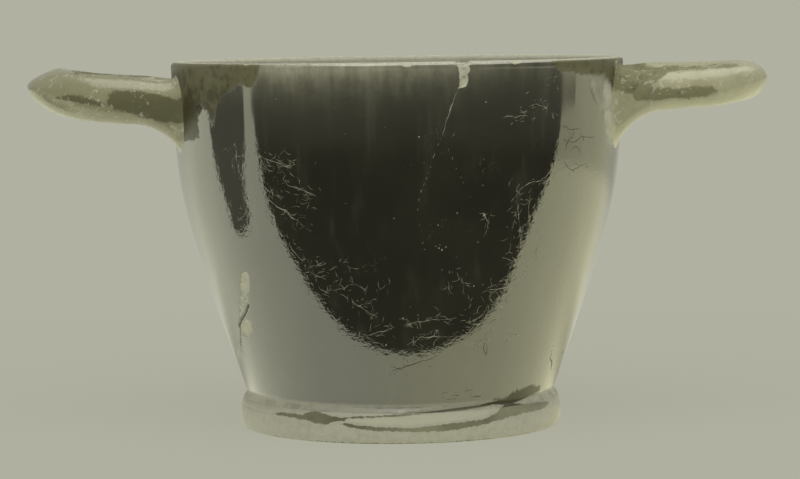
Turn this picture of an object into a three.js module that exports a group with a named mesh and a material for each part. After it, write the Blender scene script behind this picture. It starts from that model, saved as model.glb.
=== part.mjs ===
// A deep two-handled drinking cup of fired clay: a thrown bowl on a separate foot ring, with two
// rolled clay loops luted on level with the lip. Millimetres, +Z up, origin on the table under the
// cup's axis, +X towards the right handle and -Y towards the side that is seen in front.

import * as THREE from 'three';

// Bowl
const cupHeight = 170;         // table to the top of the lip
const rimRadius = 105;         // outside of the lip
const waistRadius = 71.7;      // narrowest part of the wall
const waistHeight = 16.8;      // of the waist above the table
const wallWaistAngle = 19.5;   // degrees that the wall leans out at the waist
const wallRimAngle = 3.4;      // degrees that it still leans out at the lip
const wallWaistPull = 0.72;    // how long the lean at the waist lasts, of the wall's height
const wallRimPull = 0.39;      // the same for the lean at the lip
const lipThickness = 4.8;      // wall at the lip
const baseThickness = 6.4;     // wall just above the floor
const floorThickness = 7;      // floor of the bowl at its edge
const floorFillet = 16;        // inner corner between floor and wall
const floorRise = 1.6;         // how far the middle of the floor stands up
const flareRadius = 72.6;      // bottom edge of the bowl, where it meets the ring

// Foot ring
const footHeight = 13.5;       // table to the ring's top face
const footBulgeRadius = 74.9;  // fullest part of the ring
const footBulgeHeight = 6.4;   // of the fullest part above the table
const footShoulderRadius = 72.4;  // outer edge of the ring's top face
const footShoulderArc = 62;    // degrees of round between the fullest part and that edge
const footRestOuter = 71.2;    // the flat that stands on the table, outside
const footRestInner = 63.5;    // and inside
const footInnerRadius = 60.5;  // inside of the ring at its top
const lutingGap = 0.3;         // clay slip between two joined pieces

// Handles, both alike but for the values in their own lists
const handleReach = 172;       // axis to the tip of a handle
const tubeWidth = 17;          // of the rolled clay, sideways
const rootAngle = 15.5;        // degrees from the X axis to the middle of a root
const armBelowLip = 17;        // middle of an arm below the top of the lip, where it leaves the wall
const armSpread = 29.5;        // half the distance between the arms
const armStraight = 40;        // how far an arm keeps its direction
const bendFullness = 20;       // how square the bend at the tip is
const rootDrop = 9.5;          // middle of a root's footprint below the arm
const rootReachUp = 21.5;      // half the footprint's height, up
const rootReachDown = 17.5;    // and down
const rootReachSide = 12;      // half its width along the wall
const rootFlareLength = 19;    // how far from the wall the tube has its own section
const rootFlareAngle = 38;     // degrees between the flare's edge and the wall
const tipBend = 0.34;          // share of the loop on which the tip's own section shows

const leftHandle = {
  name: 'handle_left',
  turn: Math.PI,
  tubeHeight: 21.6,            // of the rolled clay, top to bottom
  firstArmRise: -1.5,          // the arm that comes first, going round against the clock
  lastArmRise: -1,
  tipRise: 4.6,
  tipDrawnOut: 6,              // how far the tip is pulled out past a round section
  tipPinch: 0.36,              // how much it narrows there, 0 is none
};
const rightHandle = {
  name: 'handle_right',
  turn: 0,
  tubeHeight: 18.6,
  firstArmRise: 1.2,
  lastArmRise: 3.7,
  tipRise: 2.5,
  tipDrawnOut: 2.5,
  tipPinch: 0.1,
};

// Fineness of the faceted surfaces
const roundSteps = 72;
const wallSteps = 14;
const footSteps = 5;
const tubeSides = 20;
const tubeSteps = 26;
const flareSteps = 6;
const capRings = 3;

const armHeight = cupHeight - armBelowLip;

const blackGloss = { color: 0x16160f, roughness: 0.2, metalness: 0 };
const wornGloss = { color: 0x2a281c, roughness: 0.3, metalness: 0 };

const radians = THREE.MathUtils.degToRad;
const lerp = THREE.MathUtils.lerp;

// Outside of the wall: one curve from the waist to the lip.
function wallCurve() {
  const height = cupHeight - waistHeight;
  const waist = new THREE.Vector2(waistRadius, waistHeight);
  const rim = new THREE.Vector2(rimRadius, cupHeight);
  const waistLean = radians(wallWaistAngle);
  const rimLean = radians(wallRimAngle);
  const waistArm = new THREE.Vector2(Math.sin(waistLean), Math.cos(waistLean));
  const rimArm = new THREE.Vector2(Math.sin(rimLean), Math.cos(rimLean));
  const low = waist.clone().addScaledVector(waistArm, wallWaistPull * height);
  const high = rim.clone().addScaledVector(rimArm, -wallRimPull * height);
  return new THREE.CubicBezierCurve(waist, low, high, rim);
}

const outerWall = wallCurve();

// Radius of the wall's outside at a height, by halving the curve's parameter.
function wallRadiusAt(height) {
  let low = 0;
  let high = 1;
  for (let step = 0; step < 40; step += 1) {
    const middle = (low + high) / 2;
    if (outerWall.getPoint(middle).y < height) low = middle;
    else high = middle;
  }
  return outerWall.getPoint((low + high) / 2).x;
}

function wallThicknessAt(height) {
  const share = (height - waistHeight) / (cupHeight - waistHeight);
  return lerp(baseThickness, lipThickness, THREE.MathUtils.clamp(share, 0, 1));
}

function innerRadiusAt(height) {
  return wallRadiusAt(height) - wallThicknessAt(height);
}

function part(name, geometry, finish) {
  const mesh = new THREE.Mesh(geometry, new THREE.MeshStandardMaterial(finish));
  mesh.name = name;
  return mesh;
}

// A profile of (radius, height) points turned about the cup's axis, which LatheGeometry has as Y.
function turned(points) {
  const geometry = new THREE.LatheGeometry(points, roundSteps);
  geometry.rotateX(Math.PI / 2);
  return geometry;
}

// Bowl: wall and floor thrown in one, with a rounded lip.
function bowlProfile() {
  const underside = footHeight + lutingGap;
  const floorEdge = underside + floorThickness;
  const lipRadius = lipThickness / 2;
  const lipBase = cupHeight - lipRadius;
  const profile = [new THREE.Vector2(0, underside)];

  const flare = new THREE.QuadraticBezierCurve(
    new THREE.Vector2(flareRadius, underside),
    new THREE.Vector2(waistRadius - 0.4, lerp(underside, waistHeight, 0.4)),
    new THREE.Vector2(waistRadius, waistHeight),
  );
  profile.push(...flare.getPoints(3));

  for (let step = 1; step <= wallSteps; step += 1) {
    const height = lerp(waistHeight, lipBase, step / wallSteps);
    profile.push(new THREE.Vector2(wallRadiusAt(height), height));
  }

  const lipOuter = wallRadiusAt(lipBase);
  const lipInner = innerRadiusAt(lipBase);
  const lipMiddle = (lipOuter + lipInner) / 2;
  const lipHalf = (lipOuter - lipInner) / 2;
  for (let step = 1; step < 6; step += 1) {
    const angle = (Math.PI * step) / 6;
    const radius = lipMiddle + lipHalf * Math.cos(angle);
    profile.push(new THREE.Vector2(radius, lipBase + lipRadius * Math.sin(angle)));
  }

  const filletTop = floorEdge + floorFillet;
  for (let step = 0; step <= wallSteps; step += 1) {
    const height = lerp(lipBase, filletTop, step / wallSteps);
    profile.push(new THREE.Vector2(innerRadiusAt(height), height));
  }

  const wallFoot = new THREE.Vector2(innerRadiusAt(filletTop), filletTop);
  const leanPerHeight = innerRadiusAt(filletTop + 1) - wallFoot.x;
  const corner = new THREE.Vector2(wallFoot.x - leanPerHeight * floorFillet, floorEdge);
  const floorStart = new THREE.Vector2(corner.x - floorFillet, floorEdge);
  const fillet = new THREE.QuadraticBezierCurve(wallFoot, corner, floorStart);
  profile.push(...fillet.getPoints(5).slice(1));
  profile.push(new THREE.Vector2(floorStart.x / 2, floorEdge + floorRise * 0.75));
  profile.push(new THREE.Vector2(0, floorEdge + floorRise));
  return profile;
}

// Foot ring: a low rounded band with a flat to stand on, thrown by itself and luted on.
function footProfile() {
  const lowReach = footBulgeRadius - footRestOuter;
  const arc = radians(footShoulderArc);
  const highReach = (footBulgeRadius - footShoulderRadius) / (1 - Math.cos(arc));
  const highRise = (footHeight - footBulgeHeight) / Math.sin(arc);
  const profile = [];
  for (let step = 0; step <= footSteps; step += 1) {
    const angle = (Math.PI / 2) * (step / footSteps - 1);
    const radius = footBulgeRadius - lowReach * (1 - Math.cos(angle));
    profile.push(new THREE.Vector2(radius, footBulgeHeight * (1 + Math.sin(angle))));
  }
  for (let step = 1; step <= footSteps; step += 1) {
    const angle = arc * (step / footSteps);
    const radius = footBulgeRadius - highReach * (1 - Math.cos(angle));
    profile.push(new THREE.Vector2(radius, footBulgeHeight + highRise * Math.sin(angle)));
  }
  profile.push(new THREE.Vector2(footInnerRadius, footHeight));
  profile.push(new THREE.Vector2(lerp(footInnerRadius, footRestInner, 0.3), footHeight * 0.4));
  profile.push(new THREE.Vector2(footRestInner, 0));
  profile.push(profile[0].clone());
  return profile;
}

// Middle line of a handle on the +X side, from the root at -Y round the tip to the root at +Y.
function handleLine(handle) {
  const angle = radians(rootAngle);
  const rootRadius = wallRadiusAt(armHeight);
  const rootX = rootRadius * Math.cos(angle);
  const rootY = rootRadius * Math.sin(angle);
  const tipX = handleReach - tubeWidth / 2 - handle.tipDrawnOut;
  const firstHeight = armHeight + handle.firstArmRise;
  const lastHeight = armHeight + handle.lastArmRise;
  const tipHeight = (firstHeight + lastHeight) / 2 + handle.tipRise;
  const tip = new THREE.Vector3(tipX, 0, tipHeight);
  const first = new THREE.CubicBezierCurve3(
    new THREE.Vector3(rootX, -rootY, firstHeight),
    new THREE.Vector3(rootX + armStraight, -armSpread, firstHeight),
    new THREE.Vector3(tipX, -bendFullness, tipHeight),
    tip,
  );
  const last = new THREE.CubicBezierCurve3(
    tip,
    new THREE.Vector3(tipX, bendFullness, tipHeight),
    new THREE.Vector3(rootX + armStraight, armSpread, lastHeight),
    new THREE.Vector3(rootX, rootY, lastHeight),
  );
  const line = new THREE.CurvePath();
  line.add(first);
  line.add(last);
  return line;
}

// One ring of the rolled clay at a share of the line's length, 0.5 being the tip.
function tubeRing(line, handle, share) {
  const centre = line.getPointAt(share);
  const along = line.getTangentAt(share);
  const up = new THREE.Vector3(0, 0, 1);
  const out = new THREE.Vector3().crossVectors(along, up).normalize();
  const tipShare = THREE.MathUtils.clamp(1 - Math.abs(share - 0.5) / (tipBend / 2), 0, 1);
  const tipWeight = THREE.MathUtils.smootherstep(tipShare, 0, 1);
  const ring = [];
  for (let side = 0; side < tubeSides; side += 1) {
    const angle = (2 * Math.PI * side) / tubeSides;
    const outward = Math.max(0, Math.cos(angle)) * tipWeight;
    const sideways = (tubeWidth / 2) * Math.cos(angle) + handle.tipDrawnOut * outward;
    const pinch = 1 - handle.tipPinch * outward;
    const upward = (handle.tubeHeight / 2) * Math.sin(angle) * pinch;
    ring.push(centre.clone().addScaledVector(out, sideways).addScaledVector(up, upward));
  }
  return ring;
}

// A place on the wall, one luting gap off it: sideways is along the wall from the root's middle.
function onWall(rootSide, middleHeight, sideways, upward) {
  const height = middleHeight + upward;
  const radius = wallRadiusAt(height) + lutingGap;
  const angle = rootSide * (radians(rootAngle) + sideways / radius);
  return new THREE.Vector3(radius * Math.cos(angle), radius * Math.sin(angle), height);
}

// Rings of a root's face against the wall, from its middle out to its edge.
function rootFace(rootSide, rootHeight) {
  const rings = [];
  for (let ringIndex = 1; ringIndex <= capRings; ringIndex += 1) {
    const size = ringIndex / capRings;
    const ring = [];
    for (let side = 0; side < tubeSides; side += 1) {
      const angle = (2 * Math.PI * side) / tubeSides;
      const reach = Math.sin(angle) > 0 ? rootReachUp : rootReachDown;
      const sideways = rootReachSide * Math.cos(angle) * size;
      ring.push(onWall(rootSide, rootHeight, sideways, reach * Math.sin(angle) * size));
    }
    rings.push(ring);
  }
  return rings;
}

// Rings of the flare, from the edge of the root's face to the first ring of the plain tube.
function flareRings(edge, middle, rootSide, tubeStart, tubeDirection) {
  const wallNormal = new THREE.Vector3(middle.x, middle.y, 0).normalize();
  const lift = radians(rootFlareAngle);
  const rings = [];
  for (let step = 1; step < flareSteps; step += 1) {
    const u = step / flareSteps;
    const ring = edge.map((start, side) => {
      const end = tubeStart[side];
      const span = start.distanceTo(end);
      const inward = middle.clone().sub(start);
      inward.addScaledVector(wallNormal, -inward.dot(wallNormal)).normalize();
      const leave = inward.multiplyScalar(Math.cos(lift)).addScaledVector(wallNormal, Math.sin(lift));
      const point = start.clone().multiplyScalar(2 * u ** 3 - 3 * u ** 2 + 1);
      point.addScaledVector(leave, (u ** 3 - 2 * u ** 2 + u) * span);
      point.addScaledVector(end, -2 * u ** 3 + 3 * u ** 2);
      return point.addScaledVector(tubeDirection, (u ** 3 - u ** 2) * span);
    });
    rings.push(ring);
  }
  return rings;
}

// A closed skin over a row of rings, with a middle point at each end.
function skinOverRings(firstMiddle, rings, lastMiddle) {
  const points = [firstMiddle, ...rings.flat(), lastMiddle];
  const index = [];
  const at = (ring, side) => 1 + ring * tubeSides + (side % tubeSides);
  for (let side = 0; side < tubeSides; side += 1) {
    index.push(0, at(0, side), at(0, side + 1));
    for (let ring = 0; ring + 1 < rings.length; ring += 1) {
      index.push(at(ring, side), at(ring + 1, side + 1), at(ring, side + 1));
      index.push(at(ring, side), at(ring + 1, side), at(ring + 1, side + 1));
    }
    index.push(points.length - 1, at(rings.length - 1, side + 1), at(rings.length - 1, side));
  }
  const geometry = new THREE.BufferGeometry().setFromPoints(points);
  geometry.setIndex(index);
  geometry.computeVertexNormals();
  return geometry;
}

// Handle: a rolled loop whose ends are pressed out over the wall.
function handleGeometry(handle) {
  const line = handleLine(handle);
  const start = rootFlareLength / line.getLength();
  const tube = [];
  for (let step = 0; step <= tubeSteps; step += 1) {
    tube.push(tubeRing(line, handle, lerp(start, 1 - start, step / tubeSteps)));
  }
  const rootHeight = armHeight - rootDrop;
  const firstFace = rootFace(-1, rootHeight);
  const lastFace = rootFace(1, rootHeight);
  const firstMiddle = onWall(-1, rootHeight, 0, 0);
  const lastMiddle = onWall(1, rootHeight, 0, 0);
  const firstDirection = line.getTangentAt(start);
  const lastDirection = line.getTangentAt(1 - start).negate();
  const firstFlare = flareRings(firstFace.at(-1), firstMiddle, -1, tube[0], firstDirection);
  const lastFlare = flareRings(lastFace.at(-1), lastMiddle, 1, tube.at(-1), lastDirection);
  const rings = [
    ...firstFace,
    ...firstFlare,
    ...tube,
    ...lastFlare.reverse(),
    ...lastFace.reverse(),
  ];
  return skinOverRings(firstMiddle, rings, lastMiddle);
}

const cup = new THREE.Group();
cup.add(part('bowl', turned(bowlProfile()), blackGloss));
cup.add(part('foot_ring', turned(footProfile()), blackGloss));
for (const handle of [leftHandle, rightHandle]) {
  const mesh = part(handle.name, handleGeometry(handle), wornGloss);
  mesh.rotation.z = handle.turn;
  cup.add(mesh);
}

export default cup;
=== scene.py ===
# A deep two-handled cup of black-gloss pottery, standing on pale paper.

import math
import random

import bmesh
import bpy
import numpy as np
from mathutils import Matrix, Vector, noise


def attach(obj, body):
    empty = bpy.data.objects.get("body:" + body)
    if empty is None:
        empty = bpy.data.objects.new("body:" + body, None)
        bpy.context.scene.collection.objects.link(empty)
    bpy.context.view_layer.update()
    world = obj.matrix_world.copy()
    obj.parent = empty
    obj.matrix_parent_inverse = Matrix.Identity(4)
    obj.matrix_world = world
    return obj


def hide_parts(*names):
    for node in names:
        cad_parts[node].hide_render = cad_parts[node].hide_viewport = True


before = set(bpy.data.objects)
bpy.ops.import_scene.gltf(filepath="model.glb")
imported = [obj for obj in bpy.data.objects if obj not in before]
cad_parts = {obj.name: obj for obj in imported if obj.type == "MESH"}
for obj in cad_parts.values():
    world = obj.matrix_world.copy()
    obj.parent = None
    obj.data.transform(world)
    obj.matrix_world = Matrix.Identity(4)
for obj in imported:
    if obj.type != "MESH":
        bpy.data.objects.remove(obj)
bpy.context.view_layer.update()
mm = 0.001
print("frame loaded")


# Camera

cameraFit = {
    "place": (0.473, -1367.03, 190.663),  # mm
    "tilt": 4.401,  # degrees below level
    "roll": 0.663,
    "focalPixels": 2941.92,
    "imageSize": (800, 479),
    "sensor": 36.0,
}


def cameraAxes():
    tilt = math.radians(cameraFit["tilt"])
    roll = math.radians(cameraFit["roll"])
    level = Vector((1, 0, 0))
    upright = Vector((0, math.sin(tilt), math.cos(tilt)))
    forward = Vector((0, math.cos(tilt), -math.sin(tilt)))
    right = level * math.cos(roll) - upright * math.sin(roll)
    up = level * math.sin(roll) + upright * math.cos(roll)
    return right, up, forward


def addCamera():
    right, up, forward = cameraAxes()
    lens = bpy.data.cameras.new("photoCamera")
    lens.sensor_width = cameraFit["sensor"]
    lens.lens = cameraFit["sensor"] * cameraFit["focalPixels"] / cameraFit["imageSize"][0]
    lens.clip_end = 50
    camera = bpy.data.objects.new("photoCamera", lens)
    bpy.context.scene.collection.objects.link(camera)
    turn = Matrix((right, up, -forward)).transposed().to_4x4()
    camera.matrix_world = Matrix.Translation(Vector(cameraFit["place"]) * mm) @ turn
    bpy.context.scene.camera = camera


addCamera()


# Shape of the turned pieces, in millimetres

bowlShape = {
    "height": 169.6,
    "rimRadius": 104.75,
    "waistRadius": 71.65,
    "waistHeight": 16.8,
    "waistLean": 19.5,  # degrees
    "rimLean": 3.4,
    "waistPull": 0.72,
    "rimPull": 0.39,
    "lipThickness": 4.6,
    "baseThickness": 6.4,
    "underside": 13.7,
    "flareRadius": 73.0,
    "flareLean": 31.3,  # degrees, where it meets the ring
    "floorHeight": 20.9,
    "floorRise": 1.5,
    "floorFillet": 16.0,
    "stepsRound": 320,
    "wallSteps": 74,
    "lipSteps": 12,
    "wobble": 0.1,
    "wobbleScale": 14.0,
    "lipTilt": 0.3,
    "seed": 4,
}

footShape = {
    "height": 13.75,
    "shoulderRadius": 73.0,
    "shoulderArc": 62.0,  # degrees of round above the fullest part
    "bulgeRadius": 74.6,
    "bulgeHeight": 5.6,
    "grooveHeight": 10.9,  # a faint tooled line
    "grooveWidth": 0.55,
    "grooveDepth": 0.08,
    "restOuter": 72.4,
    "restInner": 63.6,
    "innerRadius": 60.6,
    "stepsRound": 640,
    "wobble": 0.06,
    "wobbleScale": 20.0,
    "seed": 9,
}


def bezier(points, steps):
    points = np.array(points, float)
    t = np.linspace(0, 1, steps)[:, None]
    if len(points) == 3:
        return (1 - t) ** 2 * points[0] + 2 * (1 - t) * t * points[1] + t**2 * points[2]
    early = (1 - t) ** 3 * points[0] + 3 * (1 - t) ** 2 * t * points[1]
    return early + 3 * (1 - t) * t**2 * points[2] + t**3 * points[3]


def wallLine(steps=400):
    s = bowlShape
    rise = s["height"] - s["waistHeight"]
    waistLean = math.radians(s["waistLean"])
    rimLean = math.radians(s["rimLean"])
    waist = np.array((s["waistRadius"], s["waistHeight"]))
    rim = np.array((s["rimRadius"], s["height"]))
    low = waist + np.array((math.sin(waistLean), math.cos(waistLean))) * s["waistPull"] * rise
    high = rim - np.array((math.sin(rimLean), math.cos(rimLean))) * s["rimPull"] * rise
    return bezier((waist, low, high, rim), steps)


outerWall = wallLine()


def wallRadius(height):
    return np.interp(height, outerWall[:, 1], outerWall[:, 0])


def wallThickness(height):
    s = bowlShape
    share = np.clip((height - s["waistHeight"]) / (s["height"] - s["waistHeight"]), 0, 1)
    return s["baseThickness"] + (s["lipThickness"] - s["baseThickness"]) * share


def innerRadius(height):
    return wallRadius(height) - wallThickness(height)


def bowlProfile():
    s = bowlShape
    lipBase = s["height"] - s["lipThickness"] / 2
    points = [(r, s["underside"]) for r in np.linspace(0, s["flareRadius"] - 0.5, 24)]
    flareLow = s["underside"] + 0.1
    third = (s["waistHeight"] - flareLow) / 3
    flare = (
        (s["flareRadius"], flareLow),
        (s["flareRadius"] - third * math.tan(math.radians(s["flareLean"])), flareLow + third),
        (s["waistRadius"] - third * math.tan(math.radians(s["waistLean"])), s["waistHeight"] - third),
        (s["waistRadius"], s["waistHeight"]),
    )
    points += [tuple(p) for p in bezier(flare, 12)]
    for z in np.linspace(s["waistHeight"], lipBase, s["wallSteps"])[1:]:
        points.append((float(wallRadius(z)), z))
    lipOuter = float(wallRadius(lipBase))
    lipInner = float(innerRadius(lipBase))
    middle = (lipOuter + lipInner) / 2
    half = (lipOuter - lipInner) / 2
    for angle in np.linspace(0, math.pi, s["lipSteps"] + 1)[1:-1]:
        z = lipBase + s["lipThickness"] / 2 * math.sin(angle)
        points.append((middle + half * math.cos(angle), z))
    filletTop = s["floorHeight"] + s["floorFillet"]
    for z in np.linspace(lipBase, filletTop, s["wallSteps"] - 14):
        points.append((float(innerRadius(z)), z))
    lean = float(innerRadius(filletTop + 1) - innerRadius(filletTop))
    foot = (float(innerRadius(filletTop)), filletTop)
    corner = (foot[0] - lean * s["floorFillet"], s["floorHeight"])
    floorStart = (corner[0] - s["floorFillet"], s["floorHeight"])
    points += [tuple(p) for p in bezier((foot, corner, floorStart), 14)[1:]]
    for share in np.linspace(1, 0, 22)[1:]:
        rise = s["floorRise"] * (1 - share**2)
        points.append((floorStart[0] * share, s["floorHeight"] + rise))
    return points


def footProfile():
    s = footShape
    points = []
    for angle in np.linspace(-math.pi / 2, 0, 16):
        r = s["bulgeRadius"] - (s["bulgeRadius"] - s["restOuter"]) * (1 - math.cos(angle))
        points.append((r, s["bulgeHeight"] * (1 + math.sin(angle))))
    arc = math.radians(s["shoulderArc"])
    reach = (s["bulgeRadius"] - s["shoulderRadius"]) / (1 - math.cos(arc))
    rise = (s["height"] - s["bulgeHeight"]) / math.sin(arc)
    for angle in np.linspace(0, arc, 40)[1:]:
        z = s["bulgeHeight"] + rise * math.sin(angle)
        groove = math.exp(-(((z - s["grooveHeight"]) / s["grooveWidth"]) ** 2))
        r = s["bulgeRadius"] - reach * (1 - math.cos(angle))
        points.append((r - s["grooveDepth"] * groove, z))
    for r in np.linspace(s["shoulderRadius"], s["innerRadius"], 8)[1:]:
        points.append((r, s["height"]))
    inside = (
        (s["innerRadius"], s["height"]),
        (s["innerRadius"] + 0.2, s["height"] * 0.4),
        (s["restInner"] - 1.6, 1.0),
        (s["restInner"], 0.0),
    )
    points += [tuple(p) for p in bezier(inside, 14)[1:]]
    for r in np.linspace(s["restInner"], s["restOuter"], 6)[1:]:
        points.append((r, 0.0))
    return points


# Small helpers for node trees

def makeNode(tree, kind, where, settings=None, **inputs):
    made = tree.nodes.new(kind)
    made.location = where
    for key, value in (settings or {}).items():
        setattr(made, key, value)
    for key, value in inputs.items():
        made.inputs[int(key[1:])].default_value = value
    return made


def mathNode(tree, operation, first, second=None, where=(0, 0), third=None):
    made = tree.nodes.new("ShaderNodeMath")
    made.operation = operation
    made.location = where
    for slot, value in enumerate((first, second, third)):
        if value is None:
            continue
        if isinstance(value, (int, float)):
            made.inputs[slot].default_value = value
        else:
            tree.links.new(value, made.inputs[slot])
    return made.outputs[0]


# A tree that turns a profile about the axis

def turningTree():
    tree = bpy.data.node_groups.new("turnedClay", "GeometryNodeTree")
    face = tree.interface
    face.new_socket("Profile", in_out="INPUT", socket_type="NodeSocketObject")
    face.new_socket("Profile Points", in_out="INPUT", socket_type="NodeSocketInt")
    face.new_socket("Steps Round", in_out="INPUT", socket_type="NodeSocketInt")
    face.new_socket("Wobble", in_out="INPUT", socket_type="NodeSocketFloat")
    face.new_socket("Wobble Scale", in_out="INPUT", socket_type="NodeSocketFloat")
    face.new_socket("Lip Tilt", in_out="INPUT", socket_type="NodeSocketFloat")
    face.new_socket("Lip Height", in_out="INPUT", socket_type="NodeSocketFloat")
    face.new_socket("Seed", in_out="INPUT", socket_type="NodeSocketInt")
    face.new_socket("Material", in_out="INPUT", socket_type="NodeSocketMaterial")
    face.new_socket("Geometry", in_out="OUTPUT", socket_type="NodeSocketGeometry")
    link = tree.links.new
    given = makeNode(tree, "NodeGroupInput", (-1400, 0))
    take = given.outputs

    grid = makeNode(tree, "GeometryNodeMeshGrid", (-900, 200), i0=1.0, i1=1.0)
    ringCount = mathNode(tree, "ADD", take["Steps Round"], 1, (-1100, 260))
    link(ringCount, grid.inputs["Vertices X"])
    link(take["Profile Points"], grid.inputs["Vertices Y"])

    profile = makeNode(tree, "GeometryNodeObjectInfo", (-1100, -200))
    link(take["Profile"], profile.inputs["Object"])
    index = makeNode(tree, "GeometryNodeInputIndex", (-1300, -400)).outputs[0]
    alongIndex = mathNode(tree, "MODULO", index, take["Profile Points"], (-1100, -400))
    place = makeNode(tree, "GeometryNodeInputPosition", (-1100, -600))
    sample = makeNode(
        tree, "GeometryNodeSampleIndex", (-900, -300), {"data_type": "FLOAT_VECTOR", "domain": "POINT"}
    )
    link(profile.outputs["Geometry"], sample.inputs["Geometry"])
    link(place.outputs[0], sample.inputs["Value"])
    link(alongIndex, sample.inputs["Index"])
    parts = makeNode(tree, "ShaderNodeSeparateXYZ", (-700, -300))
    link(sample.outputs[0], parts.inputs[0])
    radius, height = parts.outputs[0], parts.outputs[2]

    ringIndex = mathNode(tree, "DIVIDE", index, take["Profile Points"], (-900, -700))
    ringIndex = mathNode(tree, "FLOOR", ringIndex, None, (-800, -700))
    share = mathNode(tree, "DIVIDE", ringIndex, take["Steps Round"], (-700, -700))
    angle = mathNode(tree, "MULTIPLY", share, 2 * math.pi, (-600, -700))
    cosine = mathNode(tree, "COSINE", angle, None, (-450, -650))
    sine = mathNode(tree, "SINE", angle, None, (-450, -780))

    plainX = mathNode(tree, "MULTIPLY", radius, cosine, (-300, -500))
    plainY = mathNode(tree, "MULTIPLY", radius, sine, (-300, -600))
    plain = makeNode(tree, "ShaderNodeCombineXYZ", (-150, -500))
    link(plainX, plain.inputs[0])
    link(plainY, plain.inputs[1])
    link(height, plain.inputs[2])
    wave = makeNode(tree, "ShaderNodeTexNoise", (0, -500), {"noise_dimensions": "4D"})
    wave.inputs["Detail"].default_value = 1.0
    link(plain.outputs[0], wave.inputs["Vector"])
    link(take["Wobble Scale"], wave.inputs["Scale"])
    link(take["Seed"], wave.inputs["W"])
    centred = mathNode(tree, "SUBTRACT", wave.outputs[0], 0.5, (150, -500))
    swing = mathNode(tree, "MULTIPLY", centred, take["Wobble"], (300, -500))
    reach = mathNode(tree, "MULTIPLY", radius, 25.0, (300, -640))  # none at the poles
    reach = mathNode(tree, "MINIMUM", reach, 1.0, (400, -640))
    swing = mathNode(tree, "MULTIPLY", swing, reach, (450, -500))
    radius = mathNode(tree, "ADD", radius, swing, (600, -400))

    rise = mathNode(tree, "DIVIDE", height, take["Lip Height"], (0, -900))
    rise = mathNode(tree, "POWER", rise, 3.0, (150, -900))
    tilt = mathNode(tree, "MULTIPLY", rise, take["Lip Tilt"], (300, -900))
    tilt = mathNode(tree, "MULTIPLY", tilt, cosine, (450, -900))
    height = mathNode(tree, "ADD", height, tilt, (600, -800))

    turned = makeNode(tree, "ShaderNodeCombineXYZ", (900, -400))
    link(mathNode(tree, "MULTIPLY", radius, cosine, (750, -350)), turned.inputs[0])
    link(mathNode(tree, "MULTIPLY", radius, sine, (750, -480)), turned.inputs[1])
    link(height, turned.inputs[2])
    moved = makeNode(tree, "GeometryNodeSetPosition", (1050, 100))
    link(grid.outputs["Mesh"], moved.inputs["Geometry"])
    link(turned.outputs[0], moved.inputs["Position"])
    merged = makeNode(tree, "GeometryNodeMergeByDistance", (1200, 100))
    merged.inputs["Distance"].default_value = 0.00001
    link(moved.outputs[0], merged.inputs["Geometry"])
    smooth = makeNode(tree, "GeometryNodeSetShadeSmooth", (1350, 100))
    link(merged.outputs[0], smooth.inputs["Geometry"])
    real = makeNode(tree, "GeometryNodeRealizeInstances", (1500, 100))
    link(smooth.outputs[0], real.inputs["Geometry"])
    paint = makeNode(tree, "GeometryNodeSetMaterial", (1650, 100))
    link(real.outputs[0], paint.inputs["Geometry"])
    link(take["Material"], paint.inputs["Material"])
    result = makeNode(tree, "NodeGroupOutput", (1800, 100))
    link(paint.outputs[0], result.inputs["Geometry"])
    return tree


def setInputs(modifier, tree, values):
    for item in tree.interface.items_tree:
        if item.item_type == "SOCKET" and item.in_out == "INPUT" and item.name in values:
            modifier[item.identifier] = values[item.name]


def profileCurve(name, points):
    data = bpy.data.curves.new(name, "CURVE")
    data.dimensions = "3D"
    spline = data.splines.new("POLY")
    spline.points.add(len(points) - 1)
    for knot, (radius, height) in zip(spline.points, points):
        knot.co = (radius * mm, 0, height * mm, 1)
    made = bpy.data.objects.new(name, data)
    bpy.context.scene.collection.objects.link(made)
    return made


def evaluatedMesh(holder, name):
    bpy.context.view_layer.update()
    graph = bpy.context.evaluated_depsgraph_get()
    mesh = bpy.data.meshes.new_from_object(holder.evaluated_get(graph), depsgraph=graph)
    mesh.name = name
    made = bpy.data.objects.new(name, mesh)
    bpy.context.scene.collection.objects.link(made)
    return made


def dropObject(thing):
    data = thing.data
    bpy.data.objects.remove(thing, do_unlink=True)
    if isinstance(data, bpy.types.Mesh):
        bpy.data.meshes.remove(data)
    elif isinstance(data, bpy.types.Curve):
        bpy.data.curves.remove(data)


def turnedPiece(name, points, shape, material):
    profile = profileCurve(name + "Profile", points)
    holder = bpy.data.objects.new(name + "Holder", bpy.data.meshes.new(name + "Holder"))
    bpy.context.scene.collection.objects.link(holder)
    tree = bpy.data.node_groups.get("turnedClay") or turningTree()
    modifier = holder.modifiers.new("turnedClay", "NODES")
    modifier.node_group = tree
    setInputs(modifier, tree, {
        "Profile": profile,
        "Profile Points": len(points),
        "Steps Round": shape["stepsRound"],
        "Wobble": shape["wobble"] * 2 * mm,
        "Wobble Scale": shape["wobbleScale"],
        "Lip Tilt": shape.get("lipTilt", 0.0) * mm,
        "Lip Height": shape["height"] * mm,
        "Seed": shape["seed"],
        "Material": material,
    })
    piece = evaluatedMesh(holder, name)
    dropObject(holder)
    dropObject(profile)
    outwards(piece)
    return piece


def outwards(piece):
    work = bmesh.new()
    work.from_mesh(piece.data)
    bmesh.ops.recalc_face_normals(work, faces=work.faces)
    if work.calc_volume(signed=True) < 0:
        bmesh.ops.reverse_faces(work, faces=work.faces)
    work.to_mesh(piece.data)
    work.free()


# Places on the wall, found from pixels of the photograph

arcRadius = 90.0  # mm, the circle on which places round the wall are counted


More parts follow.
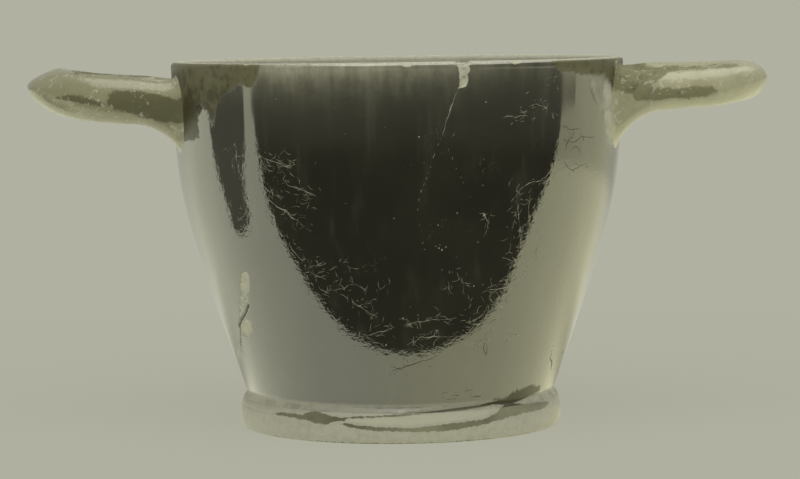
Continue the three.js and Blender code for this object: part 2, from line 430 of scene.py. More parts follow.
def photoRay(pixel):
    right, up, forward = cameraAxes()
    width, height = cameraFit["imageSize"]
    across = (pixel[0] - width / 2) / cameraFit["focalPixels"]
    down = (pixel[1] - height / 2) / cameraFit["focalPixels"]
    return np.array(cameraFit["place"]), np.array(forward + right * across - up * down)


def wallPlace(pixel):  # a pixel to its place round the wall and its height, in mm
    start, way = photoRay(pixel)
    reach = np.arange(1230.0, 1372.0, 0.05)
    points = start + reach[:, None] * way
    inside = np.hypot(points[:, 0], points[:, 1]) <= wallRadius(points[:, 2])
    hit = points[np.argmax(inside)] if inside.any() else points[-1]
    return math.atan2(hit[0], -hit[1]) * arcRadius, min(hit[2], bowlShape["height"])


def pixelsOf(points):  # places in mm to pixels of the photograph
    right, up, forward = cameraAxes()
    away = points - np.array(cameraFit["place"])
    scale = cameraFit["focalPixels"] / (away @ np.array(forward))
    width, height = cameraFit["imageSize"]
    return width / 2 + away @ np.array(right) * scale, height / 2 - away @ np.array(up) * scale


def placesOf(pixels):
    return np.array([wallPlace(p) for p in pixels])


def distanceToLine(arc, height, line):
    best = np.full(len(arc), 1e9)
    for (x0, y0), (x1, y1) in zip(line[:-1], line[1:]):
        dx, dy = x1 - x0, y1 - y0
        t = np.clip(((arc - x0) * dx + (height - y0) * dy) / (dx * dx + dy * dy + 1e-12), 0, 1)
        best = np.minimum(best, np.hypot(arc - x0 - t * dx, height - y0 - t * dy))
    return best


def insidePolygon(arc, height, outline):
    inside = np.zeros(len(arc), bool)
    x1, y1 = outline[-1]
    for x2, y2 in outline:
        crosses = (y1 > height) != (y2 > height)
        with np.errstate(divide="ignore", invalid="ignore"):
            cut = (x2 - x1) * (height - y1) / (y2 - y1) + x1
        inside ^= crosses & (arc < cut)
        x1, y1 = x2, y2
    return inside


def patchField(arc, height, outline):  # distance to the outline, more than 0 inside
    closed = np.vstack([outline, outline[:1]])
    away = distanceToLine(arc, height, closed)
    return np.where(insidePolygon(arc, height, outline), away, -away)


# Chips, flakes and wear of the bowl, with painted shade, highlight and reflection

damage = {
    "rimChip": [(456, 56), (472, 56), (470, 65), (469, 71), (468, 76), (468, 83), (466, 86), (459, 88),
                (460, 77), (460, 74), (457, 65)],
    "flakeUpper": [(242, 273), (246, 272), (249, 276), (249, 290), (247, 294), (242, 295), (240, 285)],
    "flakeMiddle": [(241, 296), (248, 295), (248, 305), (243, 313), (240, 318), (239, 306)],
    "flakeLower": [(241, 324), (246, 320), (251, 322), (252, 331), (247, 336), (241, 334)],
    "gouge": [(248, 305), (245, 313), (241, 319), (239, 325)],
    "hairLine": [(240, 327), (241, 338), (241, 350)],
    "baseChip": [(237, 349), (239, 350), (240, 358), (238, 357)],
    "rimNicks": [(245, 64, 1.0), (300, 63, 0.7), (405, 65, 1.6), (409, 66, 1.2), (515, 62, 1.5),
                 (519, 62, 1.0), (572, 58, 0.8), (617, 62, 1.7), (620, 67, 2.3), (559, 76, 0.8)],
    # Worn brown slip by the handle roots; the lower tongue of the left patch also paints the shade by the left root.
    "brownLeft": [(165, 50), (260, 50), (258, 76), (252, 86), (246, 88), (242, 82), (234, 88), (224, 96),
                  (216, 104), (213, 130), (207, 112), (200, 103), (196, 106), (198, 118), (199, 138), (188, 142),
                  (165, 140)],
    "brownRight": [(535, 50), (549, 62), (556, 68), (564, 71), (576, 73), (586, 74), (598, 77), (603, 74),
                   (611, 79), (614, 86), (622, 90), (640, 92), (640, 50)],
    # Pale patches by the right root: a painted reflection of the paper, partly dust.
    "paleRootPatches": [
        (0.62, [(588, 76), (604, 75), (611, 82), (613, 92), (608, 114), (600, 112), (592, 92)]),
        (1.0, [(603, 80), (609, 82), (613, 92), (618, 110), (617, 130), (612, 152), (606, 140), (603, 110)]),
        (1.0, [(615, 60), (620, 61), (622, 69), (618, 70), (614, 65)]),
    ],
    "chipDepth": 1.0,
    "flakeDepth": 0.45,
    "middleDepth": 0.3,
    "gougeDepth": 0.9,
    "lipPaleOutside": 169.1,  # height above which the lip is painted as pale clay, mm: partly worn clay, partly a painted highlight along the lip
    "lipPaleInside": 164.2,
    "filmTop": 166.0,  # the thin grey film under the lip
    "filmFade": 6.6,
    # How strong it is by x in mm.
    "filmAcross": [(-104, 0.3), (-82, 0.35), (-70, 0.55), (-50, 0.95), (-20, 0.75), (20, 0.48), (60, 0.22),
                   (104, 0.12)],
    "collarTop": 17.0,  # below this the wall over the ring is painted pale, a painted reflection of the paper, mm
    "collarPale": [(0.0, 0.5), (0.5, 0.7), (1.0, 1.0)],  # how pale that painted reflection is, from the front to the sides
    "streakLow": 34.0,  # where the wheel left strong lines, mm
    "streakHigh": 62.0,
}


# The footprint of a handle's root on the wall.
handleRoot = {"angle": 15.5, "side": 12.0, "middle": 145.5, "reach": 19.5}


def refineNear(piece, regions, cuts):  # finer faces where the wall falls in one of the regions
    work = bmesh.new()
    work.from_mesh(piece.data)
    chosen = set()
    for edge in work.edges:
        middle = (edge.verts[0].co + edge.verts[1].co) / 2 / mm
        radius = math.hypot(middle.x, middle.y)
        if middle.y > 0 or radius < wallRadius(middle.z) - 6:
            continue
        arc = math.atan2(middle.x, -middle.y) * arcRadius
        for arcLow, arcHigh, low, high in regions:
            if arcLow < arc < arcHigh and low < middle.z < high:
                chosen.add(edge)
                break
    bmesh.ops.subdivide_edges(work, edges=list(chosen), cuts=cuts, use_grid_fill=True)
    work.to_mesh(piece.data)
    work.free()


def boxAround(places, margin):
    low = places.min(axis=0) - margin
    high = places.max(axis=0) + margin
    return low[0], high[0], low[1], high[1]


def coordsOf(piece):
    flat = np.empty(len(piece.data.vertices) * 3)
    piece.data.vertices.foreach_get("co", flat)
    return flat.reshape(-1, 3) / mm


def setCoords(piece, points):
    piece.data.vertices.foreach_set("co", (points * mm).ravel())
    piece.data.update()


def addField(piece, name, values):
    made = piece.data.attributes.new(name, "FLOAT", "POINT")
    made.data.foreach_set("value", np.asarray(values, np.float32))


def roughNoise(points, scale, seed):
    shift = Vector((seed * 3.1, seed * 7.7, seed * 1.3))
    return np.array([noise.noise(Vector(p) * scale + shift) for p in points])


def smoothStep(low, high, value):
    t = np.clip((value - low) / (high - low), 0, 1)
    return t * t * (3 - 2 * t)


def chipBowl(piece):  # pushes chips and flakes in and returns how bare and how gouged each point is
    d = damage
    chip = placesOf(d["rimChip"])
    flakes = [(placesOf(d["flakeUpper"]), d["flakeDepth"], 4), (placesOf(d["flakeLower"]), d["flakeDepth"], 5),
              (placesOf(d["baseChip"]), d["flakeDepth"], 8)]
    middle = placesOf(d["flakeMiddle"])
    gouge, hair = placesOf(d["gouge"]), placesOf(d["hairLine"])
    regions = [boxAround(p, 3.0) for p in (chip, middle, gouge, hair)]
    regions += [boxAround(flake[0], 3.0) for flake in flakes]
    refineNear(piece, regions, 3)
    refineNear(piece, [(-78, 100, 13.75, 24.0)], 3)
    points = coordsOf(piece)
    radius = np.hypot(points[:, 0], points[:, 1])
    arc = np.arctan2(points[:, 0], -points[:, 1]) * arcRadius
    height = points[:, 2]
    outer = (radius > wallRadius(height) - 3.4) & (points[:, 1] < 0)
    bare = np.full(len(points), -3.0)
    push = np.zeros(len(points))
    index = np.where(outer & (patchField(arc, height, chip) > -3))[0]
    chipHeight = np.minimum(height[index], chip[:, 1].max() - 0.6)
    field = patchField(arc[index], chipHeight, chip)
    field = field + 0.5 * roughNoise(points[index], 0.9, 1)
    bare[index] = np.maximum(bare[index], field)
    rough = 0.35 * roughNoise(points[index], 0.8, 2) + 0.2 * roughNoise(points[index], 2.2, 3)
    push[index] += smoothStep(-0.1, 0.9, field) * (d["chipDepth"] + rough)
    for outline, depth, seed in flakes:
        index = np.where(outer & (patchField(arc, height, outline) > -2.5))[0]
        field = patchField(arc[index], height[index], outline)
        field = field + 0.45 * roughNoise(points[index], 1.0, seed)
        bare[index] = np.maximum(bare[index], field)
        push[index] += smoothStep(-0.1, 0.6, field) * (depth + 0.15 * roughNoise(points[index], 1.5, seed))
    index = np.where(outer & (patchField(arc, height, middle) > -2.5))[0]
    field = patchField(arc[index], height[index], middle) + 0.4 * roughNoise(points[index], 1.2, 9)
    push[index] += smoothStep(-0.2, 0.8, field) * d["middleDepth"]
    bare[index] = np.maximum(bare[index], np.minimum(field, 0.02))
    dark = np.zeros(len(points))
    for line, width, depth, seed in ((gouge, 0.75, d["gougeDepth"], 6), (hair, 0.25, 0.3, 7)):
        index = np.where(outer & (distanceToLine(arc, height, line) < 2.5))[0]
        away = distanceToLine(arc[index], height[index], line)
        away = away + 0.25 * roughNoise(points[index], 1.3, seed)
        push[index] += smoothStep(width * 1.6, 0.0, away) * depth
        dark[index] = np.maximum(dark[index], smoothStep(width * 1.5, 0.2 * width, away))
    inward = np.stack([points[:, 0] / np.maximum(radius, 1), points[:, 1] / np.maximum(radius, 1)], 1)
    points[:, :2] -= inward * push[:, None]
    lipDrop = (height > bowlShape["height"] - 2.4) & (bare > 0)
    points[lipDrop, 2] -= 0.9 * np.clip(bare[lipDrop], 0, 1)
    setCoords(piece, points)
    return bare, dark


def wearBowl(piece, bare, dark):  # writes the fields that the gloss reads
    d = damage
    points = coordsOf(piece)
    radius = np.hypot(points[:, 0], points[:, 1])
    arc = np.arctan2(points[:, 0], -points[:, 1]) * arcRadius
    height = points[:, 2]
    outside = (radius > wallRadius(height) - 2.3) & (height > bowlShape["underside"] + 0.05)
    # The lip painted pale: partly wear, partly a painted highlight.
    wornAbove = np.where(outside, d["lipPaleOutside"], d["lipPaleInside"])
    bare = np.maximum(bare, np.where(height > 150, height - wornAbove, -3.0))
    for x, y, size in d["rimNicks"]:
        nickArc, nickHeight = wallPlace((x, y))
        away = np.hypot(arc - nickArc, (height - nickHeight) * 1.2)
        bare = np.where(outside, np.maximum(bare, size * 0.8 - away), bare)
    index = np.where(outside & (height > 90))[0]
    brown = np.full(len(points), -9.0)
    for outline in (placesOf(d["brownLeft"]), placesOf(d["brownRight"])):
        flat = outline.copy()
        flat[:, 1] = np.where(flat[:, 1] > 166, 175.0, flat[:, 1])
        brown[index] = np.maximum(brown[index], patchField(arc[index], height[index], flat))
    behind = points[:, 1] > 0
    for side in (0, math.pi):
        middle = side + (1 if side == 0 else -1) * math.radians(handleRoot["angle"])
        around = np.arctan2(points[:, 1], points[:, 0])
        turn = np.abs(np.angle(np.exp(1j * (around - middle)))) * 104.0
        fromRoot = np.hypot(turn / handleRoot["side"], (height - handleRoot["middle"]) / handleRoot["reach"])
        fromRoot = (fromRoot - 1.0) * handleRoot["reach"]
        brown = np.where(behind & outside, np.maximum(brown, 4.0 - fromRoot), brown)
    film = np.exp(-np.maximum(0, d["filmTop"] - height) / d["filmFade"])
    film = film * np.interp(points[:, 0], *zip(*d["filmAcross"]))
    middleStreak = (d["streakLow"] + d["streakHigh"]) / 2
    reach = (d["streakHigh"] - d["streakLow"]) / 2
    streak = np.exp(-(((height - middleStreak) / reach) ** 2)) * np.exp(-(((arc - 14) / 50) ** 2))
    pale = np.zeros(len(points))
    # painted pale patches by the right root, partly dust
    for strength, outline in d["paleRootPatches"]:
        field = patchField(arc[index], height[index], placesOf(outline))
        pale[index] = np.maximum(pale[index], smoothStep(-0.4, 1.0, field) * strength)
    sideways = np.abs(points[:, 0]) / np.maximum(radius, 1)
    # Painted reflection: the wall just over the ring is painted pale.
    collar = smoothStep(d["collarTop"] + 1.2, d["collarTop"] - 1.0, height) * outside
    pale = np.maximum(pale, collar * np.interp(sideways, *zip(*d["collarPale"])))
    # Just above the foot ring in front: a painted dark line of shade in the joint, and the painted highlight streak.
    low = np.where(outside & (height < 26) & (points[:, 1] < 0))[0]
    gloss, streakPale = footMarks(points[low])
    brown[low] = np.maximum(brown[low], gloss + 0.9)
    pale[low] = np.where(gloss > 0.1, 0, pale[low])
    pale[low] = np.maximum(pale[low], streakPale)
    addFields(piece, bareField=bare, gougeField=dark, brownField=brown, filmField=film, streakField=streak,
              paleField=pale)


def addFields(piece, **values):  # the fields of a piece, plain where none is given
    count = len(piece.data.vertices)
    plain = {"bareField": -3.0, "gougeField": 0.0, "brownField": -9.0, "filmField": 0.0, "streakField": 0.0,
             "paleField": 0.0}
    for name, value in plain.items():
        addField(piece, name, values.get(name, np.full(count, value)))


# The marks on the foot ring and just above it, in pixels of the photograph. The dark ones are partly leftover gloss,
# partly painted shade in the joint and painted dark reflection; the pale ones are mostly a painted highlight streak.
footWear = {
    "gloss": [
        [(342, 417.6), (400, 414.4), (435, 410.6), (480, 404.6), (506, 398.6), (520, 392), (531, 388), (539, 387.5),
         (536, 391.5), (526, 398), (514, 403), (524, 404), (546, 401), (549, 403.5), (542, 409), (515, 415.5),
         (484, 424.5), (445, 431.5), (415, 432), (375, 431), (352, 428), (340, 424.4), (345, 423), (370, 427),
         (415, 428), (444, 424.5), (484, 419.5), (496, 413), (504, 405), (493, 404.5), (479, 408.5), (435, 413),
         (400, 416.4), (342, 419)],
        [(276, 413), (288, 412.6), (303, 415), (307, 411.5), (320, 412), (332, 416.5), (345, 418.5), (345, 421),
         (333, 421.5), (326, 425.5), (308, 420.5), (292, 417.5), (276, 414.3)],
    ],
    "pale": [
        [(345, 419), (400, 416.6), (450, 412), (488, 405.5), (502, 405), (484, 417), (444, 422.5), (415, 426),
         (372, 425), (346, 421.5)],
        [(282, 411), (290, 411.5), (304, 414), (304, 415), (288, 413)],
        [(326, 424), (338, 426), (352, 430), (350, 431), (336, 428)],
    ],
    "behindFrom": 9.2,  # height from which gloss is left at the sides and the back, mm
    "contactShadowLine": 0.5,  # a dark line next to the table, a painted contact shadow, mm
    "pixel": 0.44,  # mm
}


def footMarks(points):  # how far inside the dark marks, in mm, and how pale the painted highlight streak is
    across, down = pixelsOf(points)
    pixel = footWear["pixel"]
    gloss = np.max([patchField(across, down, np.array(k, float)) for k in footWear["gloss"]], axis=0) * pixel
    pale = np.max([patchField(across, down, np.array(k, float)) for k in footWear["pale"]], axis=0) * pixel
    return gloss, smoothStep(-0.1, 0.5, pale)


def wearFoot(piece):
    w = footWear
    points = coordsOf(piece)
    around = np.degrees(np.abs(np.arctan2(points[:, 0], -points[:, 1])))
    outside = np.hypot(points[:, 0], points[:, 1]) > 70.5
    gloss, pale = footMarks(points)
    away = smoothStep(84, 98, around) * outside + (1 - outside)
    behind = points[:, 2] - w["behindFrom"]
    # Dark where the marks are, and a painted contact shadow along the bottom.
    left = np.maximum(gloss * (1 - away) + behind * away, w["contactShadowLine"] - points[:, 2])
    addFields(
        piece,
        bareField=-left,
        paleField=pale * (1 - away),
    )


# Shader node groups

def shaderGroup(name, inputs, outputs):
    tree = bpy.data.node_groups.new(name, "ShaderNodeTree")
    for title, kind, value in inputs:
        made = tree.interface.new_socket(title, in_out="INPUT", socket_type=kind)
        if value is not None:
            made.default_value = value
    for title, kind in outputs:
        tree.interface.new_socket(title, in_out="OUTPUT", socket_type=kind)
    given = makeNode(tree, "NodeGroupInput", (-1200, 0))
    result = makeNode(tree, "NodeGroupOutput", (1200, 0))
    return tree, given.outputs, result.inputs


def noiseNode(tree, vector, scale, detail=2.0, rough=0.5, where=(0, 0), distortion=0.0):
    made = makeNode(tree, "ShaderNodeTexNoise", where)
    made.inputs["Detail"].default_value = detail
    made.inputs["Roughness"].default_value = rough
    made.inputs["Distortion"].default_value = distortion
    tree.links.new(vector, made.inputs["Vector"])
    if isinstance(scale, (int, float)):
        made.inputs["Scale"].default_value = scale
    else:
        tree.links.new(scale, made.inputs["Scale"])
    return made.outputs[0]


def rangeNode(tree, value, low, high, outLow=0.0, outHigh=1.0, where=(0, 0), smooth=True):
    made = makeNode(tree, "ShaderNodeMapRange", where)
    made.interpolation_type = "SMOOTHSTEP" if smooth else "LINEAR"
    tree.links.new(value, made.inputs["Value"])
    for title, amount in (("From Min", low), ("From Max", high), ("To Min", outLow), ("To Max", outHigh)):
        if isinstance(amount, (int, float)):
            made.inputs[title].default_value = amount
        else:
            tree.links.new(amount, made.inputs[title])
    return made.outputs[0]


def mixColour(tree, factor, first, second, where=(0, 0), mode="MIX"):
    made = makeNode(tree, "ShaderNodeMix", where, {"data_type": "RGBA", "blend_type": mode})
    for slot, value in ((0, factor), (6, first), (7, second)):
        if isinstance(value, (int, float, tuple)):
            made.inputs[slot].default_value = value
        else:
            tree.links.new(value, made.inputs[slot])
    return made.outputs[2]


def mixFloat(tree, factor, first, second, where=(0, 0)):
    made = makeNode(tree, "ShaderNodeMix", where, {"data_type": "FLOAT"})
    for slot, value in ((0, factor), (2, first), (3, second)):
        if isinstance(value, (int, float)):
            made.inputs[slot].default_value = value
        else:
            tree.links.new(value, made.inputs[slot])
    return made.outputs[0]


# Gloss relief: slow waves, ripples, wheel lines and small pits in the fired slip, as a height in metres.
def glossReliefGroup():
    tree, take, give = shaderGroup(
        "glossRelief",
        [("Vector", "NodeSocketVector", None), ("Waves", "NodeSocketFloat", 1.0),
         ("Ripples", "NodeSocketFloat", 1.0), ("Wheel Lines", "NodeSocketFloat", 1.0),
         ("Pits", "NodeSocketFloat", 1.0)],
        [("Height", "NodeSocketFloat"), ("Pit Mask", "NodeSocketFloat")],
    )
    link = tree.links.new
    slow = noiseNode(tree, take["Vector"], 85.0, 2.0, 0.5, (-900, 300))
    fine = noiseNode(tree, take["Vector"], 430.0, 2.0, 0.55, (-900, 150))
    grain = noiseNode(tree, take["Vector"], 1300.0, 1.0, 0.5, (-900, 450))
    waves = mathNode(tree, "MULTIPLY", slow, 0.00005, (-700, 300))
    waves = mathNode(tree, "MULTIPLY", waves, take["Waves"], (-500, 300))
    ripples = mathNode(tree, "MULTIPLY", fine, 0.000013, (-700, 150))
    ripples = mathNode(tree, "MULTIPLY_ADD", grain, 0.0000028, (-500, 150), ripples)
    ripples = mathNode(tree, "MULTIPLY_ADD", ripples, take["Ripples"], (-300, 200), waves)
    parts = makeNode(tree, "ShaderNodeSeparateXYZ", (-900, -50))
    link(take["Vector"], parts.inputs[0])
    sway = mathNode(tree, "MULTIPLY_ADD", slow, 0.0012, (-700, -50), parts.outputs[2])
    sway = mathNode(tree, "MULTIPLY_ADD", parts.outputs[0], 0.05, (-600, -50), sway)
    ring = makeNode(tree, "ShaderNodeCombineXYZ", (-450, -50))
    link(sway, ring.inputs[2])
    link(mathNode(tree, "MULTIPLY", parts.outputs[0], 0.03, (-600, -150)), ring.inputs[0])
    lines = noiseNode(tree, ring.outputs[0], 900.0, 2.0, 0.6, (-300, -50))
    lines = mathNode(tree, "MULTIPLY", lines, 0.0000045, (-100, -50))
    lines = mathNode(tree, "MULTIPLY", lines, take["Wheel Lines"], (50, -50))
    cells = makeNode(tree, "ShaderNodeTexVoronoi", (-700, -300), {"feature": "F1"})
    cells.inputs["Scale"].default_value = 520.0
    link(take["Vector"], cells.inputs["Vector"])
    some = noiseNode(tree, take["Vector"], 60.0, 2.0, 0.5, (-700, -550))
    size = rangeNode(tree, some, 0.5, 0.75, 0.0, 0.3, (-500, -550))
    pit = rangeNode(tree, cells.outputs["Distance"], size, 0.0, 0.0, 1.0, (-300, -300))
    pit = mathNode(tree, "MULTIPLY", pit, take["Pits"], (-100, -300))
    total = mathNode(tree, "ADD", ripples, lines, (200, 100))
    total = mathNode(tree, "MULTIPLY_ADD", pit, -0.00003, (400, 100), total)
    link(total, give["Height"])
    link(pit, give["Pit Mask"])
    return tree


# Fine rubbed scratches in patches, as a mask.
def rubGroup():
    tree, take, give = shaderGroup(
        "rubbedHairs",
        [("Vector", "NodeSocketVector", None), ("Cell", "NodeSocketFloat", 90.0),
         ("Width", "NodeSocketFloat", 0.02), ("Patches", "NodeSocketFloat", 0.55)],
        [("Mask", "NodeSocketFloat")],
    )
    link = tree.links.new
    bent = makeNode(tree, "ShaderNodeTexNoise", (-850, -100))
    bent.inputs["Scale"].default_value = 160.0
    bent.inputs["Detail"].default_value = 3.0
    link(take["Vector"], bent.inputs["Vector"])
    centred = makeNode(tree, "ShaderNodeVectorMath", (-650, -100), {"operation": "SUBTRACT"})
    centred.inputs[1].default_value = (0.5, 0.5, 0.5)
    link(bent.outputs["Color"], centred.inputs[0])
    small = makeNode(tree, "ShaderNodeVectorMath", (-500, -100), {"operation": "SCALE"})
    small.inputs["Scale"].default_value = 0.012
    link(centred.outputs[0], small.inputs[0])
    warped = makeNode(tree, "ShaderNodeVectorMath", (-350, 100), {"operation": "ADD"})
    link(take["Vector"], warped.inputs[0])
    link(small.outputs[0], warped.inputs[1])
    edge = makeNode(tree, "ShaderNodeTexVoronoi", (-150, 100), {"feature": "DISTANCE_TO_EDGE"})
    link(warped.outputs[0], edge.inputs["Vector"])
    link(take["Cell"], edge.inputs["Scale"])
    line = rangeNode(tree, edge.outputs["Distance"], take["Width"], 0.0, 0.0, 1.0, (50, 100))
    patch = noiseNode(tree, take["Vector"], 45.0, 3.0, 0.6, (-150, -300))
    wider = mathNode(tree, "ADD", take["Patches"], 0.06, (-150, -500))
    patch = rangeNode(tree, patch, take["Patches"], wider, 0.0, 1.0, (50, -300))
    broken = noiseNode(tree, take["Vector"], 700.0, 1.0, 0.5, (-150, -650))
    broken = rangeNode(tree, broken, 0.42, 0.55, 0.0, 1.0, (50, -650))
    mask = mathNode(tree, "MULTIPLY", line, patch, (250, 0))
    mask = mathNode(tree, "MULTIPLY", mask, broken, (400, 0))
    link(mask, give["Mask"])
    return tree


# Pale specks of deposit and rubbed clay, as a mask.
def speckGroup():
    tree, take, give = shaderGroup(
        "paleSpecks",
        [("Vector", "NodeSocketVector", None), ("Scale", "NodeSocketFloat", 300.0),
         ("Amount", "NodeSocketFloat", 0.5), ("Patch Scale", "NodeSocketFloat", 40.0)],
        [("Mask", "NodeSocketFloat")],
    )
    link = tree.links.new
    grain = noiseNode(tree, take["Vector"], take["Scale"], 4.0, 0.65, (-700, 100))
    patch = noiseNode(tree, take["Vector"], take["Patch Scale"], 2.0, 0.5, (-700, -150))
    both = mathNode(tree, "MULTIPLY_ADD", patch, 0.5, (-500, 0), grain)
    level = mathNode(tree, "SUBTRACT", 1.12, take["Amount"], (-500, -250))
    upper = mathNode(tree, "ADD", level, 0.035, (-300, -250))
    mask = rangeNode(tree, both, level, upper, 0.0, 1.0, (-100, 0))
    link(mask, give["Mask"])
    return tree


def placeGroup(tree, group, where, vector, values):
    made = tree.nodes.new("ShaderNodeGroup")
    made.node_tree = group
    made.location = where
    tree.links.new(vector, made.inputs["Vector"])
    for title, value in values.items():
        made.inputs[title].default_value = value
    return made


glossRelief = glossReliefGroup()
rubbedHairs = rubGroup()
paleSpecks = speckGroup()


# Finishes

clay = {
    "gloss": (0.0125, 0.0125, 0.0085, 1),
    "glossThin": (0.019, 0.0185, 0.0125, 1),
    "film": (0.33, 0.325, 0.255, 1),
    "brown": (0.105, 0.1, 0.053, 1),
    "brownDark": (0.045, 0.042, 0.02, 1),
    "handle": (0.37, 0.362, 0.258, 1),
    "handleShade": (0.25, 0.245, 0.165, 1),
    "handleBrown": (0.19, 0.184, 0.113, 1),
    "handleDark": (0.115, 0.111, 0.064, 1),
    "footGloss": (0.22, 0.217, 0.155, 1),
    "footGlossDark": (0.115, 0.113, 0.076, 1),
    "bare": (0.45, 0.445, 0.375, 1),
    "bareShade": (0.37, 0.364, 0.3, 1),
    "worn": (0.39, 0.384, 0.335, 1),
    "wornShade": (0.335, 0.33, 0.285, 1),
    # also the colour of painted highlight and painted reflection
    "depositAndSheen": (0.43, 0.422, 0.36, 1),
    "gouge": (0.03, 0.028, 0.02, 1),
}


def fieldNode(tree, name, where):
    made = makeNode(tree, "ShaderNodeAttribute", where)
    made.attribute_name = name
    return made.outputs["Fac"]


def glossMaterial(name, looks):
    material = bpy.data.materials.new(name)
    material.use_nodes = True
    tree = material.node_tree
    tree.nodes.clear()
    link = tree.links.new
    output = makeNode(tree, "ShaderNodeOutputMaterial", (1600, 0))
    shader = makeNode(tree, "ShaderNodeBsdfPrincipled", (1300, 0))
    link(shader.outputs[0], output.inputs[0])
    shader.inputs["IOR"].default_value = looks["ior"]
    shader.inputs["Metallic"].default_value = 0.0
    vector = makeNode(tree, "ShaderNodeTexCoord", (-1200, 0)).outputs["Object"]
    parts = makeNode(tree, "ShaderNodeSeparateXYZ", (-900, -750))
    link(vector, parts.inputs[0])
    relief = placeGroup(tree, glossRelief, (-900, 300), vector, looks["relief"])
    hairs = placeGroup(tree, rubbedHairs, (-900, 0), vector, looks["hairs"])
    specks = placeGroup(tree, paleSpecks, (-900, -500), vector, looks["specks"])
    streak = fieldNode(tree, "streakField", (-1150, 250))
    strength = mathNode(tree, "MULTIPLY_ADD", streak, looks["streaks"], (-1000, 250),
                        looks["relief"]["Wheel Lines"])
    link(strength, relief.inputs["Wheel Lines"])

    cloud = noiseNode(tree, vector, 28.0, 4.0, 0.6, (-900, 520))
    cloud = mathNode(tree, "MULTIPLY_ADD", parts.outputs[0], looks["paleRight"], (-750, 520), cloud)
    colour = mixColour(tree, rangeNode(tree, cloud, 0.35, 0.7, where=(-650, 520)), looks["dark"],
                       looks["thin"], (-400, 500))
    torn = noiseNode(tree, vector, 650.0, 4.0, 0.65, (-900, -1000))
    mottle = noiseNode(tree, vector, 170.0, 4.0, 0.6, (-900, -1200))

    # Brown patches: worn brown slip, and also painted shade in the joint above the foot ring and painted dark
    # reflection on the handles.
    brown = mathNode(tree, "MULTIPLY_ADD", torn, 3.0, (-450, -1100), fieldNode(tree, "brownField", (-650, -1150)))
    brown = mathNode(tree, "MULTIPLY_ADD", mottle, 4.0, (-300, -1100), brown)
    brown = rangeNode(tree, brown, 2.9, 4.3, 0.0, 1.0, (-150, -1100))
    brownPatch = mathNode(tree, "MULTIPLY_ADD", parts.outputs[0], looks["paleRight"], (-600, -1300), mottle)
    fromTop = mathNode(tree, "SUBTRACT", parts.outputs[2], 0.157, (-750, -1350))
    brownPatch = mathNode(tree, "MULTIPLY_ADD", fromTop, looks["paleTop"], (-500, -1350), brownPatch)
    brownClay = mixColour(tree, rangeNode(tree, brownPatch, 0.4, 0.65, where=(-450, -1300)), looks["brownDark"],
                          looks["brown"], (-150, -1300))
    colour = mixColour(tree, brown, colour, brownClay, (0, 400))

    film = fieldNode(tree, "filmField", (-650, -900))
    film = mathNode(tree, "MULTIPLY", film, rangeNode(tree, mottle, 0.3, 0.7, 0.72, 1.0, (-650, -1050)),
                    (-450, -900))
    upright = makeNode(tree, "ShaderNodeVectorMath", (-900, -1400), {"operation": "MULTIPLY"})
    upright.inputs[1].default_value = (1.0, 1.0, 0.12)
    link(vector, upright.inputs[0])
    runs = noiseNode(tree, upright.outputs[0], 190.0, 4.0, 0.6, (-750, -1400))
    film = mathNode(tree, "MULTIPLY", film, rangeNode(tree, runs, 0.3, 0.7, 0.8, 1.2, (-600, -1400)),
                    (-300, -900))
    runs = rangeNode(tree, runs, 0.5, 0.8, 0.0, looks["runs"], (-600, -1500))
    film = mathNode(tree, "ADD", film, runs, (-200, -900))
    film = mathNode(tree, "MULTIPLY", film, mathNode(tree, "MULTIPLY_ADD", brown, -0.9, (-250, -800), 1.0),
                    (-50, -900))
    colour = mixColour(tree, film, colour, clay["film"], (100, 450))
    hair = mathNode(tree, "MULTIPLY", hairs.outputs[0], looks["hairPale"], (-450, 0))
    colour = mixColour(tree, hair, colour, clay["film"], (200, 450))

    rub = mathNode(tree, "MULTIPLY", specks.outputs[0], looks["speckPale"], (-500, -500))
    colour = mixColour(tree, rub, colour, clay["depositAndSheen"], (300, 400))

    tear = looks["tear"]
    field = mathNode(tree, "MULTIPLY_ADD", torn, tear, (-450, -1450), fieldNode(tree, "bareField", (-650, -1450)))
    bare = rangeNode(tree, field, tear / 2 - 0.08, tear / 2 + 0.08, 0.0, 1.0, (-300, -1450))
    clayCloud = noiseNode(tree, vector, 350.0, 5.0, 0.65, (-650, -1600))
    clayColour = mixColour(tree, rangeNode(tree, clayCloud, 0.3, 0.6, where=(-450, -1600)), looks["bareShade"],
                           looks["bare"], (-150, -1600))
    colour = mixColour(tree, bare, colour, clayColour, (450, 300))
    # Pale marks: painted reflection and painted highlight, partly dust.
    pale = rangeNode(tree, mottle, 0.25, 0.6, 0.55, 1.0, (300, -1600))
    pale = mathNode(tree, "MULTIPLY", pale, fieldNode(tree, "paleField", (200, -1600)), (450, -1600))
    colour = mixColour(tree, pale, colour, clay["depositAndSheen"], (550, 300))
    gouged = fieldNode(tree, "gougeField", (200, -1450))
    colour = mixColour(tree, gouged, colour, clay["gouge"], (650, 300))
    link(colour, shader.inputs["Base Color"])
    link(mathNode(tree, "MULTIPLY_ADD", brown, -looks["brownDull"], (1000, 200), 0.5),
         shader.inputs["Specular IOR Level"])

    haze = rangeNode(tree, cloud, 0.3, 0.75, looks["roughLow"], looks["roughHigh"], (-650, 700))
    haze = mathNode(tree, "MULTIPLY_ADD", film, 0.22, (300, 0), haze)
    haze = mathNode(tree, "MULTIPLY_ADD", brown, 0.3, (400, 0), haze)
    haze = mathNode(tree, "MULTIPLY_ADD", rub, 0.5, (600, 0), haze)
    haze = mathNode(tree, "MULTIPLY_ADD", bare, looks["bareRough"], (750, 0), haze)
    haze = mathNode(tree, "MULTIPLY_ADD", gouged, 0.7, (900, 0), haze)
    haze = mathNode(tree, "ADD", pale, haze, (950, 0))
    haze = mathNode(tree, "MINIMUM", haze, 0.92, (1050, 0))
    link(haze, shader.inputs["Roughness"])

